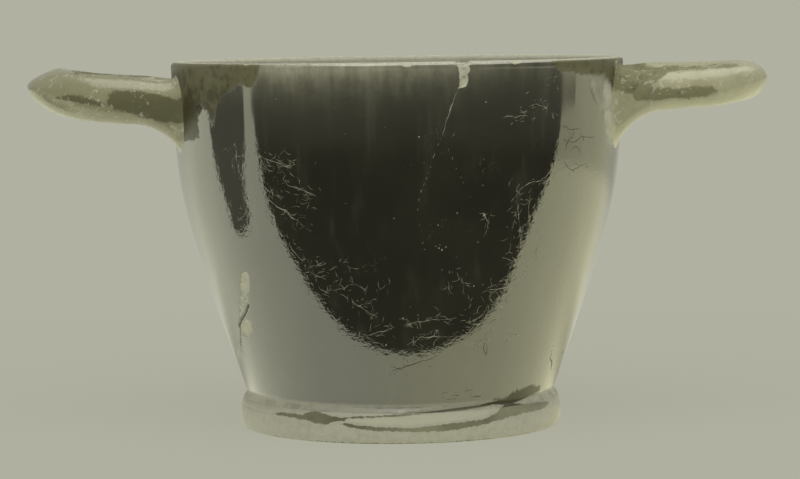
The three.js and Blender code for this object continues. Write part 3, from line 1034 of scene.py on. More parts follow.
    height = mathNode(tree, "MULTIPLY_ADD", hairs.outputs[0], -0.000006, (450, -300), relief.outputs[0])
    calm = rangeNode(tree, parts.outputs[2], 0.125, 0.142, 1.0, 1.0 - looks["calmTop"], (450, -150))
    height = mathNode(tree, "MULTIPLY", height, calm, (600, -200))
    height = mathNode(tree, "MULTIPLY_ADD", rub, 0.00004, (750, -300), height)
    height = mathNode(tree, "MULTIPLY_ADD", mathNode(tree, "MULTIPLY", brown, torn, (600, -450)), 0.00008,
                      (800, -300), height)
    crumbs = noiseNode(tree, vector, 1500.0, 4.0, 0.7, (450, -600))
    crumbs = mathNode(tree, "MULTIPLY", crumbs, bare, (600, -600))
    height = mathNode(tree, "MULTIPLY_ADD", crumbs, 0.00012, (900, -300), height)
    bump = makeNode(tree, "ShaderNodeBump", (1100, -300))
    bump.inputs["Strength"].default_value = 1.0
    bump.inputs["Distance"].default_value = 1.0
    link(height, bump.inputs["Height"])
    link(bump.outputs[0], shader.inputs["Normal"])
    return material


bowlLooks = {
    "dark": clay["gloss"], "thin": clay["glossThin"], "paleRight": 0.0, "ior": 2.0, "roughLow": 0.03,
    "roughHigh": 0.06, "brown": clay["brown"], "brownDark": clay["brownDark"], "bare": clay["bare"],
    "bareShade": clay["bareShade"], "runs": 0.05,
    "relief": {"Waves": 1.0, "Ripples": 5.0, "Wheel Lines": 0.4, "Pits": 1.0},
    "streaks": 1.5, "calmTop": 1.0, "bareRough": 0.75, "paleTop": 14.0, "brownDull": 0.4, "tear": 1.2,
    "hairs": {"Cell": 230.0, "Width": 0.035, "Patches": 0.6}, "hairPale": 0.12,
    "specks": {"Scale": 560.0, "Amount": 0.07, "Patch Scale": 50.0}, "speckPale": 0.6,
}
footLooks = dict(bowlLooks)
footLooks.update({
    "dark": clay["footGlossDark"], "thin": clay["footGloss"], "brown": clay["footGloss"],
    "brownDark": clay["footGlossDark"], "paleTop": 0.0, "ior": 1.6, "roughLow": 0.3,
    "roughHigh": 0.45, "bare": clay["worn"], "bareShade": clay["wornShade"], "bareRough": 0.15, "tear": 2.6,
    "relief": {"Waves": 1.5, "Ripples": 2.2, "Wheel Lines": 6.0, "Pits": 1.0},
    "specks": {"Scale": 460.0, "Amount": 0.17, "Patch Scale": 60.0},
})
handleLooks = dict(bowlLooks)
handleLooks.update({
    "dark": clay["handleShade"], "thin": clay["handle"], "paleRight": 1.2, "ior": 1.55, "roughLow": 0.17,
    "roughHigh": 0.27, "brown": clay["handleBrown"], "brownDark": clay["handleDark"], "calmTop": 0.0,
    "paleTop": 0.0, "brownDull": 0.3,
    "relief": {"Waves": 4.0, "Ripples": 15.0, "Wheel Lines": 0.0, "Pits": 2.0},
    "specks": {"Scale": 480.0, "Amount": 0.27, "Patch Scale": 90.0},
})

bowlGloss = glossMaterial("bowlGloss", bowlLooks)
footGloss = glossMaterial("footGloss", footLooks)
handleGloss = glossMaterial("handleGloss", handleLooks)


def clayMaterial(name, pale, shade, roughness, lumps):  # matt crumbs and cracks
    material = bpy.data.materials.new(name)
    material.use_nodes = True
    tree = material.node_tree
    tree.nodes.clear()
    link = tree.links.new
    output = makeNode(tree, "ShaderNodeOutputMaterial", (700, 0))
    shader = makeNode(tree, "ShaderNodeBsdfPrincipled", (400, 0))
    link(shader.outputs[0], output.inputs[0])
    shader.inputs["Roughness"].default_value = roughness
    vector = makeNode(tree, "ShaderNodeTexCoord", (-600, 0)).outputs["Object"]
    cloud = noiseNode(tree, vector, 420.0, 4.0, 0.6, (-300, 100))
    colour = mixColour(tree, rangeNode(tree, cloud, 0.35, 0.65, where=(-100, 100)), shade, pale, (100, 100))
    link(colour, shader.inputs["Base Color"])
    bump = makeNode(tree, "ShaderNodeBump", (150, -200))
    bump.inputs["Distance"].default_value = lumps
    link(noiseNode(tree, vector, 2200.0, 3.0, 0.6, (-300, -200)), bump.inputs["Height"])
    link(bump.outputs[0], shader.inputs["Normal"])
    return material


crackClay = clayMaterial("crackClay", clay["wornShade"], (0.1, 0.098, 0.075, 1), 0.8, 0.0001)
depositClay = clayMaterial("depositClay", clay["worn"], clay["wornShade"], 0.85, 0.0002)
etchedGloss = clayMaterial("etchedGloss", (0.4, 0.39, 0.315, 1), (0.06, 0.0585, 0.045, 1), 0.5, 0.00004)
scratchShade = clayMaterial("scratchShade", (0.07, 0.068, 0.05, 1), (0.02, 0.0195, 0.014, 1), 0.7, 0.00004)


# Bowl and foot ring

bowl = turnedPiece("potBowl", bowlProfile(), bowlShape, bowlGloss)
wearBowl(bowl, *chipBowl(bowl))
print("bowl turned", len(bowl.data.polygons))
footRing = turnedPiece("potFootRing", footProfile(), footShape, footGloss)
wearFoot(footRing)
print("foot ring turned", len(footRing.data.polygons))


# Scratches, cracks and crumbs that follow the wall

# The routes of the marks, in pixels of the photograph.
markRoutes = {
    "crack": [[(458, 88), (454, 100), (450, 111), (446, 123), (442, 136)], [(459, 76), (464, 77), (469, 76)]],
    "fineCrack": [
        [(443, 134), (447, 146), (453, 160), (458, 173), (464, 184)],
        [(441, 137), (436, 150), (431, 166), (426, 180), (419, 196), (417, 214)],
        [(454, 132), (453, 136), (451, 139)], [(419, 222), (424, 244), (425, 256)],
    ],
    "left": [
        [(276, 160), (287, 167), (292, 167)],
        [(255, 150), (262, 157), (270, 161), (278, 163), (285, 167), (290, 168)],
        [(282, 170), (286, 175), (283, 180), (289, 186), (296, 189), (304, 188)],
        [(296, 189), (310, 193), (315, 196)],
        [(263, 198), (272, 203), (278, 207), (287, 213), (296, 219), (302, 226)],
        [(298, 201), (302, 204), (309, 202)],
        [(270, 187), (272, 195), (284, 197)],
        [(253, 152), (260, 158), (264, 166), (270, 172)],
        [(241, 180), (249, 198), (246, 213), (238, 221)],
        [(235, 143), (239, 175)],
        [(288, 242), (291, 249), (297, 256), (304, 263)],
        [(240, 327), (241, 349)],
    ],
    "lowerLeft": [
        [(300, 272), (306, 274), (311, 273), (317, 276), (325, 278)],
        [(305, 269), (312, 265), (321, 266), (326, 264)],
        [(318, 285), (320, 289), (325, 292), (329, 293)],
        [(330, 292), (336, 289), (344, 289), (350, 285), (360, 285)],
        [(350, 280), (355, 284)], [(340, 262), (341, 258)], [(343, 263), (349, 263)],
        [(352, 302), (358, 306), (367, 311), (376, 316)],
        [(358, 306), (364, 303), (372, 302)], [(380, 291), (386, 284)],
        [(356, 338), (377, 333), (393, 328)], [(361, 343), (371, 342), (382, 343)],
    ],
    "lowerRight": [
        [(457, 272), (460, 280)], [(463, 279), (462, 285)],
        [(448, 281), (449, 288), (451, 292), (454, 294)], [(470, 303), (472, 298)],
        [(404, 326), (417, 322), (431, 320), (444, 319), (456, 318)],
        [(407, 345), (416, 341), (422, 337), (438, 337), (450, 336), (459, 337), (461, 340)],
        [(489, 290), (497, 290), (504, 289), (511, 288)],
        [(497, 290), (492, 293), (489, 298), (493, 302), (499, 301)],
        [(487, 306), (485, 312), (480, 317), (471, 323), (466, 323)],
        [(511, 297), (503, 300), (497, 305), (492, 311), (486, 317), (482, 323)],
        [(502, 314), (496, 318), (490, 322), (488, 326)],
        [(524, 277), (515, 279), (509, 285), (504, 288)], [(502, 258), (512, 260)],
        [(520, 225), (521, 236), (521, 247), (522, 258), (514, 261), (510, 268),
         (508, 279)],
        [(537, 244), (536, 260)], [(503, 342), (510, 338), (518, 332)],
        [(470, 344), (485, 339), (487, 333)],
    ],
    "dark": [
        [(561, 125), (570, 129), (579, 129)], [(564, 140), (573, 143), (582, 137), (595, 137)],
        [(565, 151), (567, 143), (575, 132)], [(570, 151), (576, 146), (581, 153)],
        [(565, 161), (568, 168), (573, 170), (581, 166), (587, 162)],
        [(441, 393), (449, 392)], [(452, 396), (460, 395)], [(464, 391), (474, 390)], [(470, 397), (481, 396)],
        [(446, 400), (456, 399)], [(392, 371), (405, 367), (420, 362), (437, 356)],
        [(390, 366), (400, 369), (412, 364)], [(375, 350), (392, 352), (410, 349), (432, 347)],
        [(485, 342), (484, 349), (486, 356)], [(486, 343), (487, 350), (485, 355)],
        [(552, 353), (550, 358), (552, 364), (551, 370)],
        [(300, 252), (309, 262), (314, 271)], [(350, 330), (362, 337), (378, 343)],
    ],
    "right": [
        [(528, 106), (536, 104), (548, 108)], [(502, 118), (507, 117), (527, 116)],
        [(548, 79), (558, 76)], [(553, 111), (559, 115)],
        [(516, 196), (521, 189), (530, 183), (541, 180), (548, 173)],
        [(517, 196), (519, 213), (519, 236)],
        [(530, 195), (529, 210), (530, 226), (522, 236)],
        [(542, 194), (538, 206), (532, 221)], [(483, 213), (489, 221), (487, 229)],
    ],
}

scratchLooks = {
    "step": 0.5,  # mm between points
    "sway": 0.9,
    "shiver": 0.3,
    "radius": 0.14,
    "sink": 0.02,
    "tangle": 0.9,  # short strands for each mm of a route
    "tangleSpread": 2.2,
    "tangleLength": (1.2, 5.0),
    "tangleTurn": 0.3,
    "strayCount": 64,
    "strayLength": (8, 30),
    "sides": 5,
    "seed": 17,
}

darkLooks = dict(scratchLooks, radius=0.17, tangle=0.6, tangleSpread=1.4, tangleLength=(0.6, 1.6), sway=0.6, seed=41)

crackLooks = {"step": 0.5, "sway": 0.3, "shiver": 0.22, "radius": 0.3, "sink": 0.12, "sides": 5, "seed": 5}

crumbLooks = {
    "spots": [
        (484, 215, 1.2), (457, 213, 0.6), (447, 223, 0.5), (438, 225, 0.5), (419, 137, 0.7),
        (424, 163, 0.5), (486, 102, 0.8), (436, 246, 0.7), (439, 248, 0.8), (442, 250, 0.9),
        (446, 247, 0.7), (440, 245, 0.5), (422, 243, 0.5), (424, 249, 0.5), (478, 242, 0.6),
        (499, 241, 0.6), (442, 270, 0.5), (452, 272, 0.6), (403, 318, 0.5), (437, 318, 0.8),
        (418, 315, 0.5), (474, 286, 0.5), (483, 285, 0.6), (461, 310, 0.5), (465, 310, 0.6),
        (471, 309, 0.5), (386, 345, 0.9), (348, 320, 0.5), (390, 285, 0.5), (316, 163, 0.45),
        (327, 176, 0.45), (302, 131, 0.45), (345, 134, 0.4), (382, 181, 0.4), (556, 330, 0.8),
        (560, 338, 1.0), (554, 346, 0.9), (563, 352, 1.1), (557, 361, 0.8), (566, 367, 0.7),
    ],
    "strayCount": 260,
    "straySize": (0.1, 0.26),
    "flat": 0.4,
    "sink": 0.2,
    "segments": 8,
    "rings": 5,
    "lumps": 0.8,
    "seed": 29,
}


def onOuterWall(arc, height, lift=0.0):
    angle = np.asarray(arc) / arcRadius
    radius = wallRadius(height) + lift
    return np.stack([radius * np.sin(angle), -radius * np.cos(angle), np.asarray(height, float)], -1)


def evenSteps(line, step):
    line = np.array(line, float)
    reach = np.concatenate([[0], np.cumsum(np.linalg.norm(np.diff(line, axis=0), axis=1))])
    at = np.linspace(0, reach[-1], max(3, int(reach[-1] / step) + 1))
    return np.stack([np.interp(at, reach, line[:, k]) for k in range(2)], -1)


def shaken(line, looks, dice):  # a hand-drawn line, swaying slowly and shivering finely
    shift = Vector((dice.uniform(0, 90), dice.uniform(0, 90), dice.uniform(0, 90)))
    moved = []
    for index, (arc, height) in enumerate(line):
        slow = noise.noise_vector(Vector((index * 0.13, 0, 0)) + shift) * looks["sway"]
        quick = noise.noise_vector(Vector((index * 0.55, 7, 0)) + shift) * looks["shiver"]
        moved.append((arc + slow.x + quick.x, height + slow.y + quick.y))
    return np.array(moved)


def tangleOf(line, looks, dice):  # short curling strands along a line
    strands = []
    for count in range(int(len(line) * looks["step"] * looks["tangle"])):
        index = dice.randrange(len(line) - 1)
        along = line[index + 1] - line[index]
        turn = math.atan2(along[1], along[0]) + dice.gauss(0, 0.7)
        spread = looks["tangleSpread"]
        place = line[index] + np.array((dice.gauss(0, spread), dice.gauss(0, spread)))
        strand = [place]
        for step in range(max(2, int(dice.uniform(*looks["tangleLength"]) / looks["step"]))):
            turn += dice.gauss(0, looks["tangleTurn"])
            place = place + np.array((math.cos(turn), math.sin(turn))) * looks["step"]
            strand.append(place)
        strands.append(np.array(strand))
    return strands


def strayLine(looks, dice):  # a wandering scratch somewhere on the sides or the back
    arc = dice.uniform(math.radians(95), math.radians(265)) * arcRadius
    height = dice.uniform(22, 162)
    turn = dice.uniform(0, 2 * math.pi)
    line = [(arc, height)]
    for step in range(int(dice.uniform(*looks["strayLength"]))):
        turn += dice.gauss(0, 0.35)
        arc += math.cos(turn)
        height = min(164, max(20, height + math.sin(turn)))
        line.append((arc, height))
    return evenSteps(line, looks["step"])


def markCurve(name, lines, dice):  # one curve object, thinner towards the ends of each line
    data = bpy.data.curves.new(name, "CURVE")
    data.dimensions = "3D"
    for line in lines:
        points = onOuterWall(line[:, 0], line[:, 1])
        weight = dice.uniform(0.75, 1.1) * (1.0 if len(points) > 12 else 0.65)
        spline = data.splines.new("POLY")
        spline.points.add(len(points) - 1)
        for index, (knot, place) in enumerate(zip(spline.points, points)):
            share = index / (len(points) - 1)
            knot.co = (*(place * mm), 1)
            knot.radius = weight * (0.45 + 0.55 * math.sin(math.pi * share)) * dice.uniform(0.8, 1.2)
    made = bpy.data.objects.new(name, data)
    bpy.context.scene.collection.objects.link(made)
    return made


def surfacePlace(tree, body, sink):  # the nearest place on a body, and its way out, as two sockets
    link = tree.links.new
    here = makeNode(tree, "GeometryNodeInputPosition", (-1000, -300)).outputs[0]
    near = makeNode(tree, "GeometryNodeProximity", (-800, -200), {"target_element": "FACES"})
    link(body, near.inputs["Geometry"])
    link(here, near.inputs["Sample Position"])
    normal = makeNode(tree, "GeometryNodeInputNormal", (-1000, -500)).outputs[0]
    out = makeNode(tree, "GeometryNodeSampleNearestSurface", (-800, -450), {"data_type": "FLOAT_VECTOR"})
    link(body, out.inputs["Mesh"])
    link(normal, out.inputs["Value"])
    link(here, out.inputs["Sample Position"])
    drop = makeNode(tree, "ShaderNodeVectorMath", (-550, -450), {"operation": "SCALE"})
    link(out.outputs["Value"], drop.inputs[0])
    link(mathNode(tree, "MULTIPLY", sink, -1.0, (-700, -650)), drop.inputs["Scale"])
    place = makeNode(tree, "ShaderNodeVectorMath", (-350, -300), {"operation": "ADD"})
    link(near.outputs["Position"], place.inputs[0])
    link(drop.outputs[0], place.inputs[1])
    return place.outputs[0], out.outputs["Value"]


# A tree that lays strands along the nearest surface.
def strandTree():
    tree = bpy.data.node_groups.new("wallStrands", "GeometryNodeTree")
    face = tree.interface
    for title, kind in (("Lines", "Object"), ("Body", "Object"), ("Radius", "Float"), ("Sink", "Float"),
                        ("Sides", "Int"), ("Material", "Material")):
        face.new_socket(title, in_out="INPUT", socket_type="NodeSocket" + kind)
    face.new_socket("Geometry", in_out="OUTPUT", socket_type="NodeSocketGeometry")
    link = tree.links.new
    take = makeNode(tree, "NodeGroupInput", (-1400, 0)).outputs
    lines = makeNode(tree, "GeometryNodeObjectInfo", (-1100, 200))
    link(take["Lines"], lines.inputs["Object"])
    body = makeNode(tree, "GeometryNodeObjectInfo", (-1100, -50))
    link(take["Body"], body.inputs["Object"])
    place, out = surfacePlace(tree, body.outputs["Geometry"], take["Sink"])
    laid = makeNode(tree, "GeometryNodeSetPosition", (0, 200))
    link(lines.outputs["Geometry"], laid.inputs["Geometry"])
    link(place, laid.inputs["Position"])
    section = makeNode(tree, "GeometryNodeCurvePrimitiveCircle", (0, -100))
    link(take["Sides"], section.inputs["Resolution"])
    link(take["Radius"], section.inputs["Radius"])
    weight = makeNode(tree, "GeometryNodeInputRadius", (0, -300))
    strand = makeNode(tree, "GeometryNodeCurveToMesh", (250, 150))
    link(laid.outputs[0], strand.inputs["Curve"])
    link(section.outputs["Curve"], strand.inputs["Profile Curve"])
    link(weight.outputs[0], strand.inputs["Scale"])
    strand.inputs["Fill Caps"].default_value = True
    finishTree(tree, strand.outputs[0], take["Material"], (450, 150))
    return tree


def finishTree(tree, geometry, material, where):  # smooth, realised and painted
    link = tree.links.new
    smooth = makeNode(tree, "GeometryNodeSetShadeSmooth", where)
    link(geometry, smooth.inputs["Geometry"])
    real = makeNode(tree, "GeometryNodeRealizeInstances", (where[0] + 200, where[1]))
    link(smooth.outputs[0], real.inputs["Geometry"])
    paint = makeNode(tree, "GeometryNodeSetMaterial", (where[0] + 400, where[1]))
    link(real.outputs[0], paint.inputs["Geometry"])
    link(material, paint.inputs["Material"])
    result = makeNode(tree, "NodeGroupOutput", (where[0] + 600, where[1]))
    link(paint.outputs[0], result.inputs["Geometry"])


# A tree that sets lumpy crumbs on the nearest surface.
def crumbTree():
    tree = bpy.data.node_groups.new("wallCrumbs", "GeometryNodeTree")
    face = tree.interface
    for title, kind in (("Places", "Object"), ("Body", "Object"), ("Flatness", "Float"), ("Sink", "Float"),
                        ("Segments", "Int"), ("Rings", "Int"), ("Lumps", "Float"), ("Seed", "Int"),
                        ("Material", "Material")):
        face.new_socket(title, in_out="INPUT", socket_type="NodeSocket" + kind)
    face.new_socket("Geometry", in_out="OUTPUT", socket_type="NodeSocketGeometry")
    link = tree.links.new
    take = makeNode(tree, "NodeGroupInput", (-1400, 0)).outputs
    places = makeNode(tree, "GeometryNodeObjectInfo", (-1100, 200))
    link(take["Places"], places.inputs["Object"])
    body = makeNode(tree, "GeometryNodeObjectInfo", (-1100, -50))
    link(take["Body"], body.inputs["Object"])
    size = makeNode(tree, "GeometryNodeInputNamedAttribute", (-1100, 450), {"data_type": "FLOAT"})
    size.inputs["Name"].default_value = "crumbSize"
    depth = mathNode(tree, "MULTIPLY", size.outputs["Attribute"], take["Sink"], (-900, 450))
    place, out = surfacePlace(tree, body.outputs["Geometry"], depth)
    laid = makeNode(tree, "GeometryNodeSetPosition", (0, 200))
    link(places.outputs["Geometry"], laid.inputs["Geometry"])
    link(place, laid.inputs["Position"])
    spin = makeNode(tree, "FunctionNodeRandomValue", (-300, -700), {"data_type": "FLOAT"})
    spin.inputs[3].default_value = 2 * math.pi
    link(take["Seed"], spin.inputs["Seed"])
    spun = makeNode(tree, "ShaderNodeCombineXYZ", (-100, -700))
    link(spin.outputs[1], spun.inputs[2])
    aligned = makeNode(tree, "FunctionNodeAlignRotationToVector", (100, -500), {"axis": "Z"})
    link(spun.outputs[0], aligned.inputs["Rotation"])
    link(out, aligned.inputs["Vector"])
    ball = makeNode(tree, "GeometryNodeMeshUVSphere", (0, -100))
    link(take["Segments"], ball.inputs["Segments"])
    link(take["Rings"], ball.inputs["Rings"])
    ball.inputs["Radius"].default_value = 1.0
    scale = makeNode(tree, "ShaderNodeCombineXYZ", (0, -300))
    link(size.outputs["Attribute"], scale.inputs[0])
    link(size.outputs["Attribute"], scale.inputs[1])
    link(mathNode(tree, "MULTIPLY", size.outputs["Attribute"], take["Flatness"], (-200, -300)),
         scale.inputs[2])
    scattered = makeNode(tree, "GeometryNodeInstanceOnPoints", (300, 100))
    link(laid.outputs[0], scattered.inputs["Points"])
    link(ball.outputs["Mesh"], scattered.inputs["Instance"])
    link(aligned.outputs[0], scattered.inputs["Rotation"])
    link(scale.outputs[0], scattered.inputs["Scale"])
    real = makeNode(tree, "GeometryNodeRealizeInstances", (500, 100))
    link(scattered.outputs[0], real.inputs["Geometry"])
    lump = makeNode(tree, "ShaderNodeTexNoise", (300, -350))
    lump.inputs["Scale"].default_value = 1400.0
    lump.inputs["Detail"].default_value = 1.0
    here = makeNode(tree, "GeometryNodeInputPosition", (100, -350)).outputs[0]
    link(here, lump.inputs["Vector"])
    centred = makeNode(tree, "ShaderNodeVectorMath", (500, -350), {"operation": "SUBTRACT"})
    link(lump.outputs["Color"], centred.inputs[0])
    centred.inputs[1].default_value = (0.5, 0.5, 0.5)
    shift = makeNode(tree, "ShaderNodeVectorMath", (650, -350), {"operation": "SCALE"})
    link(centred.outputs[0], shift.inputs[0])
    link(take["Lumps"], shift.inputs["Scale"])
    torn = makeNode(tree, "GeometryNodeSetPosition", (750, 100))
    link(real.outputs[0], torn.inputs["Geometry"])
    link(shift.outputs[0], torn.inputs["Offset"])
    finishTree(tree, torn.outputs[0], take["Material"], (950, 100))
    return tree


def grownPiece(name, tree, values, helpers):  # runs a tree once and keeps only its mesh
    holder = bpy.data.objects.new(name + "Holder", bpy.data.meshes.new(name + "Holder"))
    bpy.context.scene.collection.objects.link(holder)
    modifier = holder.modifiers.new(tree.name, "NODES")
    modifier.node_group = tree
    setInputs(modifier, tree, values)
    piece = evaluatedMesh(holder, name)
    dropObject(holder)
    for helper in helpers:
        dropObject(helper)
    return piece


def strandPiece(name, lines, looks, dice, tree, material):
    curve = markCurve(name + "Lines", lines, dice)
    return grownPiece(name, tree, {
        "Lines": curve, "Body": bowl, "Radius": looks["radius"] * mm, "Sink": looks["sink"] * mm,
        "Sides": looks["sides"], "Material": material,
    }, [curve])


def darkLines(dice):
    lines = []
    for route in markRoutes["dark"]:
        line = shaken(evenSteps(placesOf(route), darkLooks["step"]), darkLooks, dice)
        lines.append(line)
        lines += tangleOf(line, darkLooks, dice)
    return lines


def scratchLines(dice):
    lines = []
    for cluster in ("left", "lowerLeft", "lowerRight", "right"):
        for route in markRoutes[cluster]:
            line = shaken(evenSteps(placesOf(route), scratchLooks["step"]), scratchLooks, dice)
            lines.append(line)
            lines += tangleOf(line, scratchLooks, dice)
    for count in range(scratchLooks["strayCount"]):
        line = shaken(strayLine(scratchLooks, dice), scratchLooks, dice)
        lines.append(line)
        lines += tangleOf(line[::3], scratchLooks, dice)
    return lines


def crackLines(dice):
    lines = [shaken(evenSteps(placesOf(route), crackLooks["step"]), crackLooks, dice)
             for route in markRoutes["crack"]]
    for route in markRoutes["fineCrack"]:  # broken into short bits
        line = shaken(evenSteps(placesOf(route), crackLooks["step"]), crackLooks, dice)
        start = 0
        while start < len(line) - 3:
            end = start + dice.randint(3, 7)
            lines.append(line[start:end])
            start = end + dice.randint(1, 6)
    return lines


def crumbPlaces(dice):
    looks = crumbLooks
    spots = [(*wallPlace((x, y)), size * 0.5) for x, y, size in looks["spots"]]
    for count in range(looks["strayCount"]):
        arc = dice.uniform(-math.pi, math.pi) * arcRadius
        size = dice.uniform(*looks["straySize"]) * dice.uniform(0.5, 1.0)
        spots.append((arc, dice.uniform(18, 166), size))
    points = [onOuterWall(arc, height) * mm for arc, height, size in spots]
    mesh = bpy.data.meshes.new("crumbPlaces")
    mesh.from_pydata(points, [], [])
    made = bpy.data.objects.new("crumbPlaces", mesh)
    bpy.context.scene.collection.objects.link(made)
    addField(made, "crumbSize", [size * mm for arc, height, size in spots])
    return made


def crumbPiece(name, dice):
    looks = crumbLooks
    places = crumbPlaces(dice)
    return grownPiece(name, crumbTree(), {
        "Places": places, "Body": bowl, "Flatness": looks["flat"], "Sink": looks["sink"],
        "Segments": looks["segments"], "Rings": looks["rings"], "Lumps": looks["lumps"] * mm,
        "Seed": looks["seed"], "Material": depositClay,
    }, [places])


layStrands = strandTree()
scratchDice = random.Random(scratchLooks["seed"])
scratches = strandPiece("potScratches", scratchLines(scratchDice), scratchLooks, scratchDice, layStrands,
                        etchedGloss)
darkDice = random.Random(darkLooks["seed"])
darkScratches = strandPiece("potDarkScratches", darkLines(darkDice), darkLooks, darkDice, layStrands, scratchShade)
crackDice = random.Random(crackLooks["seed"])
cracks = strandPiece("potCracks", crackLines(crackDice), crackLooks, crackDice, layStrands, crackClay)
crumbs = crumbPiece("potCrumbs", random.Random(crumbLooks["seed"]))
print("marks laid", len(scratches.data.polygons), len(cracks.data.polygons), len(crumbs.data.polygons))


# Handles

# The dark bands of the handles, in pixels of the photograph, painted as matte brown: partly worn slip, partly a
# painted dark reflection of the room in front and above.
handleDark = {
    "left": [
        [(106, 104), (108, 93), (118, 90), (140, 90), (160, 94), (176, 99), (192, 97), (192, 122), (178, 124),
         (165, 123), (150, 119), (130, 113.5), (112, 110.5)],
        [(56, 98), (74, 95), (92, 99), (108, 104), (104, 107), (80, 103.5)],
        [(72, 70), (110, 69), (172, 72), (172, 77), (140, 77.5), (110, 75), (75, 74.5)],
    ],
    "right": [
        [(600, 50), (636, 58), (650, 66), (690, 66), (738, 64), (738, 67.5), (690, 70), (668, 73), (660, 80),
         (652, 84), (655, 86), (662, 88), (680, 88), (698, 86), (712, 87), (717, 92), (706, 97), (690, 98.5),
         (660, 100.5), (645, 101.5), (636, 102), (632, 95), (614, 90), (600, 80)],
    ],
}

handleShape = {
    "reach": 171.6,
    "tubeWidth": 16.8,
    "rootAngle": 15.5,
    "armHeight": 153.0,
    "armSpread": 29.5,
    "armStraight": 40.0,
    "bendFullness": 20.0,
    "rootDrop": 9.5,
    "rootDown": 17.2,
    "rootSide": 11.8,
    "sink": 0.5,
    "flareLength": 21.0,
    "flareAngle": 14.0,
    "tipBend": 0.34,
    "sides": 56,
    "tubeSteps": 190,
    "flareSteps": 30,
    "lumps": 0.35,
    "tipLift": 2.0,
    "left": {"turn": math.pi, "tubeHeight": 21.4, "firstRise": -1.5, "lastRise": -1.0, "tipRise": 4.5,
             "drawnOut": 6.0, "pinch": 0.36, "rootUp": 21.2, "seed": 11},
    "right": {"turn": 0.0, "tubeHeight": 18.4, "firstRise": 1.2, "lastRise": 3.7, "tipRise": 2.4,
              "drawnOut": 2.5, "pinch": 0.1, "rootUp": 25.6, "seed": 23},
}


def handleLine(hand):
    s = handleShape
    angle = math.radians(s["rootAngle"])
    root = float(wallRadius(s["armHeight"]))
    rootX, rootY = root * math.cos(angle), root * math.sin(angle)
    tipX = s["reach"] - s["tubeWidth"] / 2 - hand["drawnOut"]
    firstZ = s["armHeight"] + hand["firstRise"]
    lastZ = s["armHeight"] + hand["lastRise"]
    tipZ = (firstZ + lastZ) / 2 + hand["tipRise"]
    first = bezier((
        (rootX, -rootY, firstZ),
        (rootX + s["armStraight"], -s["armSpread"], firstZ),
        (tipX, -s["bendFullness"], tipZ),
        (tipX, 0, tipZ),
    ), 400)
    last = bezier((
        (tipX, 0, tipZ),
        (tipX, s["bendFullness"], tipZ),
        (rootX + s["armStraight"], s["armSpread"], lastZ),
        (rootX, rootY, lastZ),
    ), 400)
    line = np.vstack([first, last[1:]])
    reach = np.concatenate([[0], np.cumsum(np.linalg.norm(np.diff(line, axis=0), axis=1))])
    return line, reach


def onWall(side, middleHeight, sideways, upward):
    s = handleShape
    height = middleHeight + upward
    radius = wallRadius(height) - s["sink"]
    angle = side * (math.radians(s["rootAngle"]) + sideways / radius)
    return np.stack([radius * np.cos(angle), radius * np.sin(angle), height], -1)


def handleRings(hand):
    s = handleShape
    line, reach = handleLine(hand)
    total = reach[-1]
    around = np.arange(s["sides"]) * 2 * math.pi / s["sides"]
    cosine, sine = np.cos(around), np.sin(around)

    def at(distance):
        centre = np.array([np.interp(distance, reach, line[:, k]) for k in range(3)])
        ahead = np.array([np.interp(distance + 0.5, reach, line[:, k]) for k in range(3)])
        behind = np.array([np.interp(distance - 0.5, reach, line[:, k]) for k in range(3)])
        along = (ahead - behind) / np.linalg.norm(ahead - behind)
        return centre, along

    def tube(distance):
        centre, along = at(distance)
        up = np.array((0, 0, 1.0))
        out = np.cross(along, up)
        out /= np.linalg.norm(out)
        share = distance / total
        weight = smoothStep(0, 1, np.clip(1 - abs(share - 0.5) / (s["tipBend"] / 2), 0, 1))
        outward = np.maximum(0, cosine) * weight
        sideways = s["tubeWidth"] / 2 * cosine + hand["drawnOut"] * outward
        upward = hand["tubeHeight"] / 2 * sine * (1 - hand["pinch"] * outward)
        upward = upward + s["tipLift"] * outward**2 * hand["drawnOut"] / 6
        return centre + sideways[:, None] * out + upward[:, None] * up, along

    middle = s["armHeight"] - s["rootDrop"]
    upDown = np.where(sine > 0, hand["rootUp"], s["rootDown"]) * sine

    def face(side):
        rings = []
        for size in (0.25, 0.5, 0.75, 1.0):
            rings.append(onWall(side, middle, s["rootSide"] * cosine * size, upDown * size))
        return rings

    def flare(side, edge, end, direction):
        normal = np.array([math.cos(side * math.radians(s["rootAngle"])),
                           math.sin(side * math.radians(s["rootAngle"])), 0])
        centre = onWall(side, middle, 0.0, 0.0)
        lift = math.radians(s["flareAngle"])
        rings = []
        span = np.linalg.norm(edge - end, axis=1)[:, None]
        inward = centre - edge
        inward -= (inward @ normal)[:, None] * normal
        inward /= np.linalg.norm(inward, axis=1)[:, None]
        leave = inward * math.cos(lift) + normal * math.sin(lift)
        for step in range(1, s["flareSteps"]):
            u = step / s["flareSteps"]
            ring = (2 * u**3 - 3 * u**2 + 1) * edge + (u**3 - 2 * u**2 + u) * span * leave
            rings.append(ring + (3 * u**2 - 2 * u**3) * end + (u**3 - u**2) * span * direction)
        return rings

    distances = np.linspace(s["flareLength"], total - s["flareLength"], s["tubeSteps"] + 1)
    tubes = [tube(d)[0] for d in distances]
    firstFace, lastFace = face(-1), face(1)
    firstDirection = at(distances[0])[1]
    lastDirection = -at(distances[-1])[1]
    firstFlare = flare(-1, firstFace[-1], tubes[0], firstDirection)
    lastFlare = flare(1, lastFace[-1], tubes[-1], lastDirection)
    rings = firstFace + firstFlare + tubes + lastFlare[::-1] + lastFace[::-1]
    return onWall(-1, middle, 0.0, 0.0), np.array(rings), onWall(1, middle, 0.0, 0.0)


